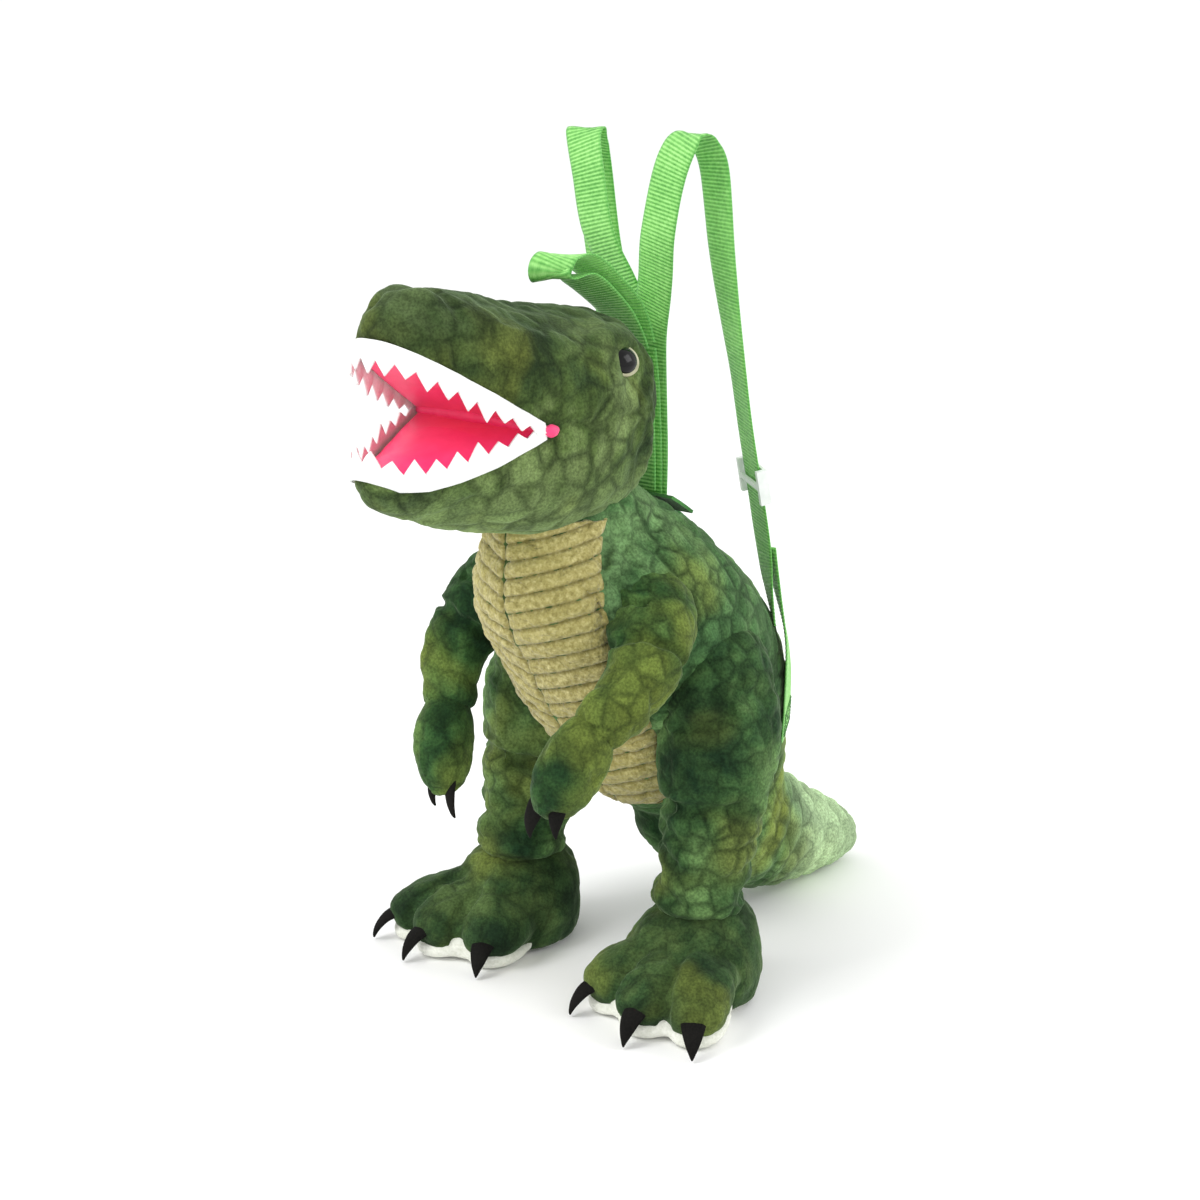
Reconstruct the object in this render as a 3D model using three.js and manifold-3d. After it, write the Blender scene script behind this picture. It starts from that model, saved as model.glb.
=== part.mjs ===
// A plush tyrannosaur worn as a child's backpack, in millimetres, +Z up.
// The dinosaur faces -Y and stands on its two soles at z = 0; +X is its own left side.
// Every fabric shell is one solid, and the stuffing inside it is another.
import * as THREE from 'three';
import { mergeVertices } from 'three/addons/utils/BufferGeometryUtils.js';
import Module from 'manifold-3d';

const wasm = await Module();
wasm.setup();

// ---------------------------------------------------------------- driving dimensions
const ORIGIN_Y = -43.03;            // moves the model so that its footprint is centred on the origin
const GAP = 0.3;                 // clearance between pieces that touch
const PLUSH = 2.5;               // pile fabric with its backing
const PAD = 12.3;                // padded wall of the bag
const LINING = 1.2;

const ZIP = { y: -72, z: 92, r: 236, low: 14.2, high: 54.6, tape: 12.7, slot: 13 };
const NECK_Z = 300;              // flat joint between the neck and the head
const TAIL_Z = 95;               // flat joint between the rump and the tail
const SHOULDER = { x: 50, y: -12, z: 243, r: 42 };
const HIP = { x: 48, y: 40, z: 158, r: 58 };
const JAW = { y: -90, z: 362, slope: 0.61 };
const ANKLE = { x: 75, y: 17, z: 47 };
const STRAP = { width: 25, thick: 1.6 };
const FAR_ARM_DROP = 20;         // the right arm hangs this many degrees lower

// ---------------------------------------------------------------- materials
const finish = (color, roughness, metalness = 0) =>
  new THREE.MeshStandardMaterial({ color, roughness, metalness });
const MAT = {
  plush: finish('#4f6b3a', 0.95),
  headPlush: finish('#5b6a46', 0.95),
  footPlush: finish('#3c5030', 0.95),
  tailPlush: finish('#93a878', 0.95),
  belly: finish('#9a966a', 0.95),
  stuffing: finish('#f2f0ea', 1.0),
  lining: finish('#7f9b6a', 0.8),
  satin: finish('#e02f6f', 0.45),
  felt: finish('#f2f3f0', 0.9),
  claw: finish('#1d1c18', 0.85),
  sole: finish('#e6e8dc', 0.9),
  webbing: finish('#86cf6c', 0.7),
  zip: finish('#8fd3a0', 0.5),
  plastic: finish('#f4f5f3', 0.35),
  eye: finish('#0b0b0c', 0.08),
};

// ---------------------------------------------------------------- solids
function solid(geometry) {
  const bare = geometry.clone();
  bare.deleteAttribute('normal');
  bare.deleteAttribute('uv');
  const merged = mergeVertices(bare, 1e-4);
  const vertProperties = new Float32Array(merged.attributes.position.array);
  const triVerts = new Uint32Array(merged.index.array);
  return new wasm.Manifold(new wasm.Mesh({ numProp: 3, vertProperties, triVerts }));
}

function geometryOf(manifold) {
  const mesh = manifold.getMesh();
  const geometry = new THREE.BufferGeometry();
  geometry.setAttribute('position', new THREE.BufferAttribute(mesh.vertProperties, 3));
  geometry.setIndex(new THREE.BufferAttribute(mesh.triVerts, 1));
  geometry.computeVertexNormals();
  return geometry;
}

const group = new THREE.Group();
group.position.set(0, ORIGIN_Y, 0);

function piece(name, shape, material) {
  const geometry = shape.isBufferGeometry ? shape : geometryOf(shape);
  const mesh = new THREE.Mesh(geometry, material);
  mesh.name = name;
  group.add(mesh);
  return mesh;
}

function block(low, high) {
  const size = high.map((value, i) => value - low[i]);
  const geometry = new THREE.BoxGeometry(...size);
  geometry.translate(...low.map((value, i) => value + size[i] / 2));
  return solid(geometry);
}

// A side-view outline of [y, z] points, extruded across the body from x0 to x1.
function slab(outline, x0, x1) {
  const shape = new THREE.Shape(outline.map(([y, z]) => new THREE.Vector2(y, z)));
  const geometry = new THREE.ExtrudeGeometry(shape, { depth: x1 - x0, bevelEnabled: false });
  const toBody = new THREE.Matrix4().set(0, 0, 1, x0, 1, 0, 0, 0, 0, 1, 0, 0, 0, 0, 0, 1);
  geometry.applyMatrix4(toBody);
  return solid(geometry);
}

// A round cutter along X, from x0 outwards on the given side.
function disc(centre, radius, x0, side, length = 80) {
  const geometry = new THREE.CylinderGeometry(radius, radius, length, 20);
  geometry.rotateZ(Math.PI / 2);
  geometry.translate(side * (x0 + length / 2), centre.y, centre.z);
  return solid(geometry);
}

const mirrored = (side) => new THREE.Matrix4().makeScale(side, 1, 1);

// ---------------------------------------------------------------- lofts
const catmull = (a, b, c, d, t) => 0.5 * (2 * b + (c - a) * t
  + (2 * a - 5 * b + 4 * c - d) * t * t + (3 * b - a - 3 * c + d) * t * t * t);

// Smooth in-between rows of numbers: each row is one station along the piece.
function between(rows, steps) {
  const out = [];
  for (let i = 0; i + 1 < rows.length; i += 1) {
    const near = [rows[Math.max(i - 1, 0)], rows[i], rows[i + 1]];
    near.push(rows[Math.min(i + 2, rows.length - 1)]);
    for (let s = 0; s < steps; s += 1) {
      out.push(rows[i].map((_, k) => catmull(...near.map((row) => row[k]), s / steps)));
    }
  }
  out.push([...rows[rows.length - 1]]);
  return out;
}

// Rows are [x, y, z, a, b]: a ring's centre, its half size along the side axis and across it.
function loft(rows, options = {}) {
  const { sides = 16, steps = 1, grow = 0, power = 2, axis = [1, 0, 0], facing = null } = options;
  const fine = between(rows, steps);
  const centres = fine.map((row) => new THREE.Vector3(row[0], row[1], row[2]));
  const last = fine.length - 1;
  const along = fine.map((_, i) => {
    if (facing) return new THREE.Vector3(...facing);
    const next = centres[Math.min(i + 1, last)];
    return next.clone().sub(centres[Math.max(i - 1, 0)]).normalize();
  });
  centres[0].addScaledVector(along[0], -grow);
  centres[last].addScaledVector(along[last], grow);
  const positions = [];
  fine.forEach((row, i) => {
    const across = new THREE.Vector3(...axis);
    across.addScaledVector(along[i], -across.dot(along[i])).normalize();
    const up = along[i].clone().cross(across);
    for (let j = 0; j < sides; j += 1) {
      const angle = (2 * Math.PI * (j + 0.5)) / sides;
      const c = Math.cos(angle);
      const s = Math.sin(angle);
      const u = Math.sign(c) * Math.abs(c) ** (2 / power) * Math.max(row[3] + grow, 0.6);
      const v = Math.sign(s) * Math.abs(s) ** (2 / power) * Math.max(row[4] + grow, 0.6);
      const point = centres[i].clone().addScaledVector(across, u).addScaledVector(up, v);
      positions.push(...point.toArray());
    }
  });
  positions.push(...centres[0].toArray(), ...centres[last].toArray());
  const index = [];
  const ring = (i, j) => i * sides + (j % sides);
  for (let i = 0; i < last; i += 1) {
    for (let j = 0; j < sides; j += 1) {
      index.push(ring(i, j), ring(i, j + 1), ring(i + 1, j + 1));
      index.push(ring(i, j), ring(i + 1, j + 1), ring(i + 1, j));
    }
  }
  const start = (last + 1) * sides;
  for (let j = 0; j < sides; j += 1) {
    index.push(start, ring(0, j + 1), ring(0, j));
    index.push(start + 1, ring(last, j), ring(last, j + 1));
  }
  const geometry = new THREE.BufferGeometry();
  geometry.setAttribute('position', new THREE.Float32BufferAttribute(positions, 3));
  geometry.setIndex(index);
  return geometry;
}

// A flat band along a path. Rows are [x, y, z, twist]: the band's width turns about Z by twist.
function ribbon(rows, width, thick, steps = 3) {
  const fine = between(rows, steps);
  const points = fine.map((row) => new THREE.Vector3(row[0], row[1], row[2]));
  const last = fine.length - 1;
  const positions = [];
  fine.forEach((row, i) => {
    const along = points[Math.min(i + 1, last)].clone().sub(points[Math.max(i - 1, 0)]).normalize();
    const twist = THREE.MathUtils.degToRad(row[3]);
    const across = new THREE.Vector3(Math.cos(twist), -Math.sin(twist), 0);
    across.addScaledVector(along, -across.dot(along)).normalize();
    const normal = along.clone().cross(across);
    for (const [u, v] of [[1, 1], [-1, 1], [-1, -1], [1, -1]]) {
      const corner = points[i].clone().addScaledVector(across, (u * width) / 2);
      positions.push(...corner.addScaledVector(normal, (v * thick) / 2).toArray());
    }
  });
  const index = [];
  const at = (i, j) => i * 4 + (j % 4);
  for (let i = 0; i < last; i += 1) {
    for (let j = 0; j < 4; j += 1) {
      index.push(at(i, j), at(i, j + 1), at(i + 1, j + 1), at(i, j), at(i + 1, j + 1), at(i + 1, j));
    }
  }
  index.push(0, 2, 1, 0, 3, 2);
  index.push(at(last, 0), at(last, 1), at(last, 2), at(last, 0), at(last, 2), at(last, 3));
  const geometry = new THREE.BufferGeometry();
  geometry.setAttribute('position', new THREE.Float32BufferAttribute(positions, 3));
  geometry.setIndex(index);
  return geometry;
}

// ---------------------------------------------------------------- torso: the bag itself
// The back follows the zip's arc. Rows are [z, front y, half width].
const TORSO = [
  [NECK_Z, -72, 41], [288, -71, 44], [270, -73, 62], [252, -73, 71], [233, -66, 77], [214, -54, 80],
  [186, -38, 77], [157, -18, 67], [138, -6, 60], [118, 14, 55], [104, 34, 51], [TAIL_Z, 50, 46],
];
const backAt = (z) => ZIP.y + Math.sqrt(ZIP.r ** 2 - (z - ZIP.z) ** 2);
const torsoRows = TORSO.map(([z, front, half]) =>
  [0, (front + backAt(z)) / 2, z, half, (backAt(z) - front) / 2]);

const torsoLoft = (inset) =>
  solid(loft(torsoRows, { grow: -inset, sides: 18, facing: [0, 0, -1] }));

function torsoSolid(inset) {
  let body = torsoLoft(inset);
  for (const side of [1, -1]) {
    body = body.subtract(disc(SHOULDER, SHOULDER.r + inset, SHOULDER.x - inset, side));
    body = body.subtract(disc(HIP, HIP.r + inset, HIP.x - inset, side));
  }
  return body;
}

// Part of a ring round the zip's centre, between two radii and two angles in degrees.
function arcBand(r0, r1, low, high, x0, x1, count = 10) {
  const outline = [];
  for (let i = 0; i <= 2 * count + 1; i += 1) {
    const outward = i <= count;
    const t = outward ? i / count : (2 * count + 1 - i) / count;
    const angle = THREE.MathUtils.degToRad(low + (high - low) * t);
    const r = outward ? r1 : r0;
    outline.push([ZIP.y + r * Math.cos(angle), ZIP.z + r * Math.sin(angle)]);
  }
  return slab(outline, x0, x1);
}
const zipPoint = (degrees, r) => {
  const angle = THREE.MathUtils.degToRad(degrees);
  return new THREE.Vector3(0, ZIP.y + r * Math.cos(angle), ZIP.z + r * Math.sin(angle));
};

const zipSlot = arcBand(ZIP.r - 50, ZIP.r + 20, ZIP.low, ZIP.high, -ZIP.slot, ZIP.slot);
const padInset = PLUSH + GAP;

// The pocket's lining bag, open at the zip. Rows are [z, front y, half width].
const POCKET = [
  [270, -50, 16], [260, -52, 25], [240, -48, 29], [205, -32, 30], [170, -8, 30], [145, 14, 28],
  [128, 34, 19],
];
const pocketBack = (z) => ZIP.y + Math.sqrt((ZIP.r - padInset - PAD - 1) ** 2 - (z - ZIP.z) ** 2);
const pocketRows = POCKET.map(([z, front, half]) =>
  [0, (front + pocketBack(z)) / 2, z, half, (pocketBack(z) - front) / 2]);
const pocketBag = (grow) =>
  solid(loft(pocketRows, { grow, sides: 14, power: 2.6, facing: [0, 0, -1] }));
piece('torso_skin', torsoSolid(0).subtract(torsoSolid(PLUSH)).subtract(zipSlot), MAT.plush);
piece('torso_padding',
  torsoSolid(padInset).subtract(torsoSolid(padInset + PAD)).subtract(zipSlot), MAT.stuffing);
piece('pocket_lining', pocketBag(0).subtract(pocketBag(-LINING)).subtract(zipSlot), MAT.lining);

for (const [label, side] of [['left', 1], ['right', -1]]) {
  const edges = [side * 1.9, side * ZIP.tape].sort((p, q) => p - q);
  piece(`zip_tape_${label}`,
    arcBand(ZIP.r - 1.2, ZIP.r, ZIP.low + 0.1, ZIP.high - 0.1, ...edges), MAT.zip);
}
piece('zip_coil', arcBand(ZIP.r - 1.6, ZIP.r + 1.2, ZIP.low + 0.4, ZIP.high - 0.4, -1.6, 1.6), MAT.zip);

// Slider and pull, at the closed end of the zip near the nape.
const SLIDER_AT = ZIP.high - 2.2;
function onZip(geometry, degrees, r) {
  geometry.rotateX(THREE.MathUtils.degToRad(degrees));
  const spot = zipPoint(degrees, r);
  geometry.translate(spot.x, spot.y, spot.z);
  return geometry;
}
function sliderGeometry() {
  const shape = new THREE.Shape();
  shape.moveTo(-4.5, 5).lineTo(4.5, 5).lineTo(3.2, -6).lineTo(-3.2, -6).closePath();
  return new THREE.ExtrudeGeometry(shape, { depth: 3, bevelEnabled: false });
}
function pullGeometry() {
  const shape = new THREE.Shape();
  shape.moveTo(-2.5, 0).lineTo(2.5, 0).lineTo(3.6, -20).absarc(0, -20, 3.6, 0, -Math.PI, true);
  shape.closePath();
  const eyelet = new THREE.Path().absarc(0, -19, 1.6, 0, 2 * Math.PI, false);
  shape.holes.push(eyelet);
  return new THREE.ExtrudeGeometry(shape, { depth: 1.4, bevelEnabled: false, curveSegments: 6 });
}
// The flat shapes are drawn in XY; this stands them up with their thickness along +Y.
const standUp = (geometry) => geometry.rotateX(Math.PI / 2).rotateZ(Math.PI);

// ---------------------------------------------------------------- belly panel
const BELLY = [[297, 33], [280, 40], [262, 46], [240, 47], [214, 49], [186, 46], [160, 44],
  [138, 40], [118, 34], [104, 20]];
function bellyPanel() {
  const outline = [];
  BELLY.forEach(([z, half]) => outline.push([half, z]));
  [...BELLY].reverse().forEach(([z, half]) => outline.push([-half, z]));
  const shape = new THREE.Shape(outline.map(([x, z]) => new THREE.Vector2(x, z)));
  const geometry = new THREE.ExtrudeGeometry(shape, { depth: 190, bevelEnabled: false });
  geometry.rotateX(Math.PI / 2);
  geometry.translate(0, 90, 0);
  const cutter = solid(geometry);
  const front = slab([[-100, 310], [0, 310], [30, 200], [70, 95], [-100, 90]], -60, 60);
  return torsoLoft(-3).subtract(torsoLoft(-GAP)).intersect(cutter).intersect(front);
}
piece('belly_panel', bellyPanel(), MAT.belly);

// ---------------------------------------------------------------- head and jaw
// Rows are [y, top z, bottom z, half width], from the back of the head to the snout.
const HEAD = [
  [27, 376, 344, 14], [22, 392, 326, 32], [10, 408, 309, 45], [-8, 417, 298, 52], [-30, 421, 292, 56],
  [-55, 426, 292, 56], [-80, 430, 297, 53], [-105, 436, 304, 49], [-130, 440, 311, 43],
  [-152, 440, 318, 36], [-168, 432, 325, 28], [-178, 412, 332, 19], [-185, 390, 340, 8],
];
const headRows = HEAD.map(([y, top, bottom, half]) =>
  [0, y, (top + bottom) / 2, half, (top - bottom) / 2]);
const headLoft = (inset) =>
  solid(loft(headRows, { grow: -inset, sides: 20, power: 2.25, facing: [0, -1, 0] }));

const upperLip = (y) => JAW.z + JAW.slope * (JAW.y - y);
const LOWER_LIP = [[-90, 361.7], [-122, 348], [-142, 341.5], [-158, 338], [-172, 338.5], [-190, 350]];
function lowerLip(y) {
  const row = Math.max(LOWER_LIP.findIndex(([at]) => at <= y), 1);
  const [near, far] = [LOWER_LIP[row - 1], LOWER_LIP[row]];
  return near[1] + ((far[1] - near[1]) * (near[0] - y)) / (near[0] - far[0]);
}

function headSolid(inset) {
  const rear = JAW.y + GAP + inset;
  const lift = inset * 1.17 + GAP;
  const mouth = [[rear, 240], [rear, upperLip(rear) + lift], [-230, upperLip(-230) + lift], [-230, 240]];
  const neck = block([-90, -240, 200], [90, 60, NECK_Z + 4 + inset]);
  return headLoft(inset).subtract(slab(mouth, -90, 90)).subtract(neck);
}
function jawSolid(inset) {
  const lip = LOWER_LIP.map(([y, z]) => [Math.min(y, JAW.y - GAP - inset), z - inset]);
  const outline = [[JAW.y - GAP - inset, 240], ...lip, [-190, 240]];
  const neck = block([-90, -240, 200], [90, 60, NECK_Z + 4 + inset]);
  return headLoft(inset).intersect(slab(outline, -90, 90)).subtract(neck);
}

// Eyes: a domed button whose shank goes through the skin into a washer in the stuffing.
const EYE = { x: 46.4, y: -20, z: 392, r: 8.6, tilt: 27, toe: 8 };
function eyeFrame(side) {
  const tilt = THREE.MathUtils.degToRad(EYE.tilt);
  const toe = THREE.MathUtils.degToRad(EYE.toe);
  const out = new THREE.Vector3(side * Math.cos(tilt) * Math.cos(toe),
    -Math.cos(tilt) * Math.sin(toe), Math.sin(tilt));
  const turn = new THREE.Quaternion().setFromUnitVectors(new THREE.Vector3(0, 1, 0), out);
  const place = new THREE.Vector3(side * EYE.x, EYE.y, EYE.z);
  return new THREE.Matrix4().compose(place, turn, new THREE.Vector3(1, 1, 1));
}
function turned(profile, segments = 14) {
  return new THREE.LatheGeometry(profile.map(([r, h]) => new THREE.Vector2(r, h)), segments);
}
function eyeButton() {
  const dome = [];
  for (let i = 0; i <= 5; i += 1) {
    const angle = (i / 5) * (Math.PI / 2);
    dome.push([EYE.r * Math.cos(angle), 2 + 3.6 * Math.sin(angle)]);
  }
  dome[5][0] = 0;
  return turned([[0, -9], [1.8, -9], [1.8, 1], [EYE.r - 0.6, 1], ...dome]);
}
const eyeWasher = () => turned([[2.2, -7.2], [7.5, -7.2], [7.5, -5.6], [2.2, -5.6], [2.2, -7.2]]);
const eyePocket = () => turned([[0, -10], [8.2, -10], [8.2, -4.6], [2.3, -4.6], [2.3, 1], [0, 1]]);
const eyeSeat = () => turned([[0, 0.7], [EYE.r + 0.6, 0.7], [EYE.r + 0.6, 12], [0, 12]]);

let headShell = headSolid(0).subtract(headSolid(PLUSH));
let headFill = headSolid(PLUSH + 2);
for (const side of [1, -1]) {
  const frame = eyeFrame(side);
  const pocket = solid(eyePocket().applyMatrix4(frame));
  headShell = headShell.subtract(pocket).subtract(solid(eyeSeat().applyMatrix4(frame)));
  headFill = headFill.subtract(pocket);
  const label = side > 0 ? 'left' : 'right';
  piece(`eye_${label}`, solid(eyeButton().applyMatrix4(frame)), MAT.eye);
  piece(`eye_washer_${label}`, solid(eyeWasher().applyMatrix4(frame)), MAT.plastic);
}
piece('head_skin', headShell, MAT.headPlush);
piece('head_fill', headFill, MAT.stuffing);
const jawFill = jawSolid(PLUSH + 2);
const throatPort = block([-22, -97, 314], [22, -85, 342]);
piece('jaw_skin', jawSolid(0).subtract(jawSolid(PLUSH)).subtract(throatPort), MAT.headPlush);
piece('jaw_fill', jawFill, MAT.stuffing);

// Mouth linings: thin satin sheets on the palate and on the jaw, inside the tooth strips.
const mouthInside = headLoft(6.5);
const palate = [[-93, upperLip(-93)], [-93, upperLip(-93) - 1.2], [-200, upperLip(-200) - 1.2],
  [-200, upperLip(-200)]];
piece('mouth_lining_upper', mouthInside.intersect(slab(palate, -80, 80)), MAT.satin);
const floorLine = LOWER_LIP.map(([y, z], i) => (i ? [y, z + GAP] : [-98, 358.6]));
const floorTop = [...floorLine].reverse().map(([y, z]) => [y, z + 1.2]);
piece('mouth_lining_lower',
  mouthInside.intersect(slab([...floorLine, ...floorTop], -80, 80)), MAT.satin);

// Tooth strips: one felt band round each lip, with a saw-tooth edge.
const superHalf = (y, z) => {
  const rows = between(headRows, 4);
  const row = Math.max(rows.findIndex((r) => r[1] <= y), 1);
  const [near, far] = [rows[row - 1], rows[row]];
  const t = (near[1] - y) / (near[1] - far[1]);
  const [centre, half, tall] = [2, 3, 4].map((k) => near[k] + (far[k] - near[k]) * t);
  const reach = 1 - Math.abs((z - centre) / tall) ** 2.25;
  return reach > 0 ? half * reach ** (1 / 2.25) : 0;
};
function lipOutline(lip, yBack, inset) {
  const half = [];
  for (let i = 0; i <= 60; i += 1) {
    const y = yBack + ((-184 - yBack) * i) / 60;
    const x = superHalf(y, lip(y)) - inset;
    if (x > 1.5) half.push(new THREE.Vector2(x, y));
  }
  const tip = half[half.length - 1].clone().setX(0);
  const right = [...half].reverse().map((p) => new THREE.Vector2(-p.x, p.y));
  return new THREE.SplineCurve([...half, tip, ...right]);
}
function toothStrip(lip, down, count, yBack) {
  const curve = lipOutline(lip, yBack, 3.1);
  const total = 2 * count;
  const base = [];
  for (let i = 0; i <= total; i += 1) {
    const p = curve.getPointAt(i / total);
    const before = curve.getPointAt(Math.max(i / total - 0.01, 0));
    const after = curve.getPointAt(Math.min(i / total + 0.01, 1));
    const inward = new THREE.Vector2(after.y - before.y, before.x - after.x).normalize();
    const reach = Math.hypot(p.y - JAW.y, lip(p.y) - JAW.z);
    const tall = Math.min(12.5, 0.2 * reach) * (i % 2 ? 1 : 0.42);
    base.push({ p, inward, tall });
  }
  const positions = [];
  for (const { p, inward, tall } of base) {
    const root = lip(p.y) + (down ? -1.2 : 1.2);
    for (const [depth, drop] of [[0, 0], [1.6, 0], [1.6, tall], [0, tall]]) {
      const spot = p.clone().addScaledVector(inward, depth);
      positions.push(spot.x, spot.y, root + (down ? -drop : drop));
    }
  }
  const index = [];
  const at = (i, j) => i * 4 + (j % 4);
  for (let i = 0; i < total; i += 1) {
    for (let j = 0; j < 4; j += 1) {
      index.push(at(i, j), at(i, j + 1), at(i + 1, j + 1), at(i, j), at(i + 1, j + 1), at(i + 1, j));
    }
  }
  index.push(0, 2, 1, 0, 3, 2);
  index.push(at(total, 0), at(total, 1), at(total, 2), at(total, 0), at(total, 2), at(total, 3));
  if (!down) index.reverse();
  const geometry = new THREE.BufferGeometry();
  geometry.setAttribute('position', new THREE.Float32BufferAttribute(positions, 3));
  geometry.setIndex(index);
  return geometry;
}
piece('upper_teeth', toothStrip(upperLip, true, 19, -104), MAT.felt);
piece('lower_teeth', toothStrip(lowerLip, false, 18, -104), MAT.felt);

// ---------------------------------------------------------------- arms
const ARM = [
  [34, -6, 247, 27, 27], [56, -13, 242, 27.5, 27.5], [73, -28, 231, 24.5, 24.5],
  [79, -47, 215, 21, 21], [76, -65, 198, 18, 18], [72, -76, 188, 17, 17],
];
const HAND = [
  [71.8, -77.3, 186.7, 18, 16], [69, -86, 176, 21, 17], [65, -96, 162, 19.5, 16],
  [62, -104, 150, 14, 12], [61, -107, 145, 6, 5],
];
const HAND_CLAWS = { inner: [-8, -106, 147], outer: [9, -105, 150] };

function limbTurn(side) {
  const drop = side < 0 ? THREE.MathUtils.degToRad(FAR_ARM_DROP) : 0;
  const away = new THREE.Matrix4().makeTranslation(0, -SHOULDER.y, -SHOULDER.z);
  const back = new THREE.Matrix4().makeTranslation(0, SHOULDER.y, SHOULDER.z);
  const turn = new THREE.Matrix4().makeRotationX(drop);
  return back.multiply(turn).multiply(away);
}
function spike(from, to, radius) {
  const start = new THREE.Vector3(...from);
  const end = new THREE.Vector3(...to);
  const at = (t, r, sag) => {
    const p = start.clone().lerp(end, t);
    return [p.x, p.y, p.z + sag, r, r];
  };
  const rows = [at(0, radius, 0), at(0.4, radius * 0.85, 1.5), at(0.75, radius * 0.5, 1), at(1, 0.7, 0)];
  return loft(rows, { sides: 8 });
}

for (const [label, side] of [['left', 1], ['right', -1]]) {
  const outer = { sides: 12, axis: [0, 0, 1] };
  const seat = block([0, -200, 0], [SHOULDER.x + GAP, 200, 500]);
  const innerSeat = block([0, -200, 0], [SHOULDER.x + GAP + PLUSH, 200, 500]);
  const fillSeat = block([0, -200, 0], [SHOULDER.x + GAP + PLUSH + 2, 200, 500]);
  const armOuter = solid(loft(ARM, outer)).subtract(seat);
  const armInner = solid(loft(ARM, { ...outer, grow: -PLUSH })).subtract(innerSeat);
  const armFill = solid(loft(ARM, { ...outer, sides: 10, grow: -PLUSH - 2 })).subtract(fillSeat);
  const wristClear = solid(loft(ARM, { ...outer, grow: GAP }));
  const handOuter = solid(loft(HAND, { sides: 12 })).subtract(wristClear);
  const place = (manifold) => {
    const geometry = geometryOf(manifold).applyMatrix4(limbTurn(side));
    geometry.applyMatrix4(mirrored(side));
    if (side < 0) geometry.index.array.reverse();
    return geometry;
  };
  const cuff = solid(loft([[74, -72, 191, 12, 12], [69, -84, 181, 12, 12]], { sides: 10 }));
  piece(`arm_skin_${label}`, place(armOuter.subtract(armInner).subtract(cuff)), MAT.plush);
  piece(`arm_fill_${label}`, place(armFill), MAT.stuffing);
  const handInner = solid(loft(HAND, { sides: 12, grow: -PLUSH }));
  piece(`hand_skin_${label}`, place(handOuter.subtract(handInner).subtract(cuff)), MAT.plush);
  piece(`hand_fill_${label}`, place(solid(loft(HAND, { sides: 10, grow: -PLUSH - 2 }))), MAT.stuffing);
  for (const [which, [dx, y, z]] of Object.entries(HAND_CLAWS)) {
    const claw = solid(spike([62 + dx * 0.8, y + 6, z + 6], [61 + dx * 1.4, y - 6, z - 16], 5.2));
    const clear = solid(loft(HAND, { sides: 12, grow: GAP }));
    piece(`hand_claw_${which}_${label}`, place(claw.subtract(clear)), MAT.claw);
  }
}

// ---------------------------------------------------------------- legs and feet
const LEG = [
  [66, 44, 208, 8, 10], [68, 43, 201, 23, 29], [71, 40, 185, 31, 39], [74, 36, 160, 35, 41],
  [75, 30, 135, 34, 36.5], [75, 26, 112, 32, 33], [75, 20, 80, 28, 29], [75, 17, 60, 26, 26],
  [ANKLE.x, ANKLE.y, ANKLE.z, 25, 25],
];
const INSTEP = [
  [75, 17, 46.7, 25, 25], [75, 16, 34, 29, 30], [75, 17, 16, 31, 32], [75, 17, 2, 30, 31],
];
const TOES = { outer: [37, 84, 19], middle: [11, 79, 20], inner: [-24, 73, 19] };
const SOLE = 2;

function toeRows([degrees, reach, radius]) {
  const angle = THREE.MathUtils.degToRad(degrees);
  const at = (t, z, a, b) =>
    [ANKLE.x + Math.sin(angle) * reach * t, ANKLE.y - Math.cos(angle) * reach * t, z, a, b];
  return [at(0, 24, 22, 24), at(0.4, 23, 22, 21), at(0.72, 19, radius, 18),
    at(0.92, 16, radius * 0.82, 15), at(1, 14, radius * 0.45, 9)];
}
function footSolid(inset, sides) {
  let foot = solid(loft(INSTEP, { sides: sides + 2, grow: -inset, facing: [0, 0, -1] }));
  for (const toe of Object.values(TOES)) {
    foot = foot.add(solid(loft(toeRows(toe), { sides, grow: -inset })));
  }
  const under = SOLE + GAP + Math.max(inset, 0);
  return foot.intersect(block([0, -120, under], [200, 120, 200]));
}
function solePlate() {
  let plate = solid(loft(INSTEP, { sides: 14, facing: [0, 0, -1], grow: 1 }));
  for (const toe of Object.values(TOES)) {
    plate = plate.add(solid(loft(toeRows(toe), { sides: 10, grow: 1 })));
  }
  const lifted = solid(geometryOf(plate).translate(0, 0, -9));
  return lifted.intersect(block([0, -120, 0], [200, 120, SOLE]));
}
const footOuter = footSolid(0, 10);
const footInner = footSolid(PLUSH, 8);
const footFill = footSolid(PLUSH + 2, 7);
const footClear = footSolid(-GAP, 10);
const sole = solePlate();
const legOuter = solid(loft(LEG, { sides: 16, facing: [0, 0, -1] }));
const legInner = solid(loft(LEG, { sides: 16, facing: [0, 0, -1], grow: -PLUSH }));
const legFill = solid(loft(LEG, { sides: 12, facing: [0, 0, -1], grow: -PLUSH - 2 }));
const inside = (extra) => block([0, -200, 0], [HIP.x + 2 * GAP + extra, 200, 500]);
const sock = solid(loft([[75, 17, 56, 14, 14], [75, 17, 40, 14, 14]], { sides: 12 }));

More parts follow.
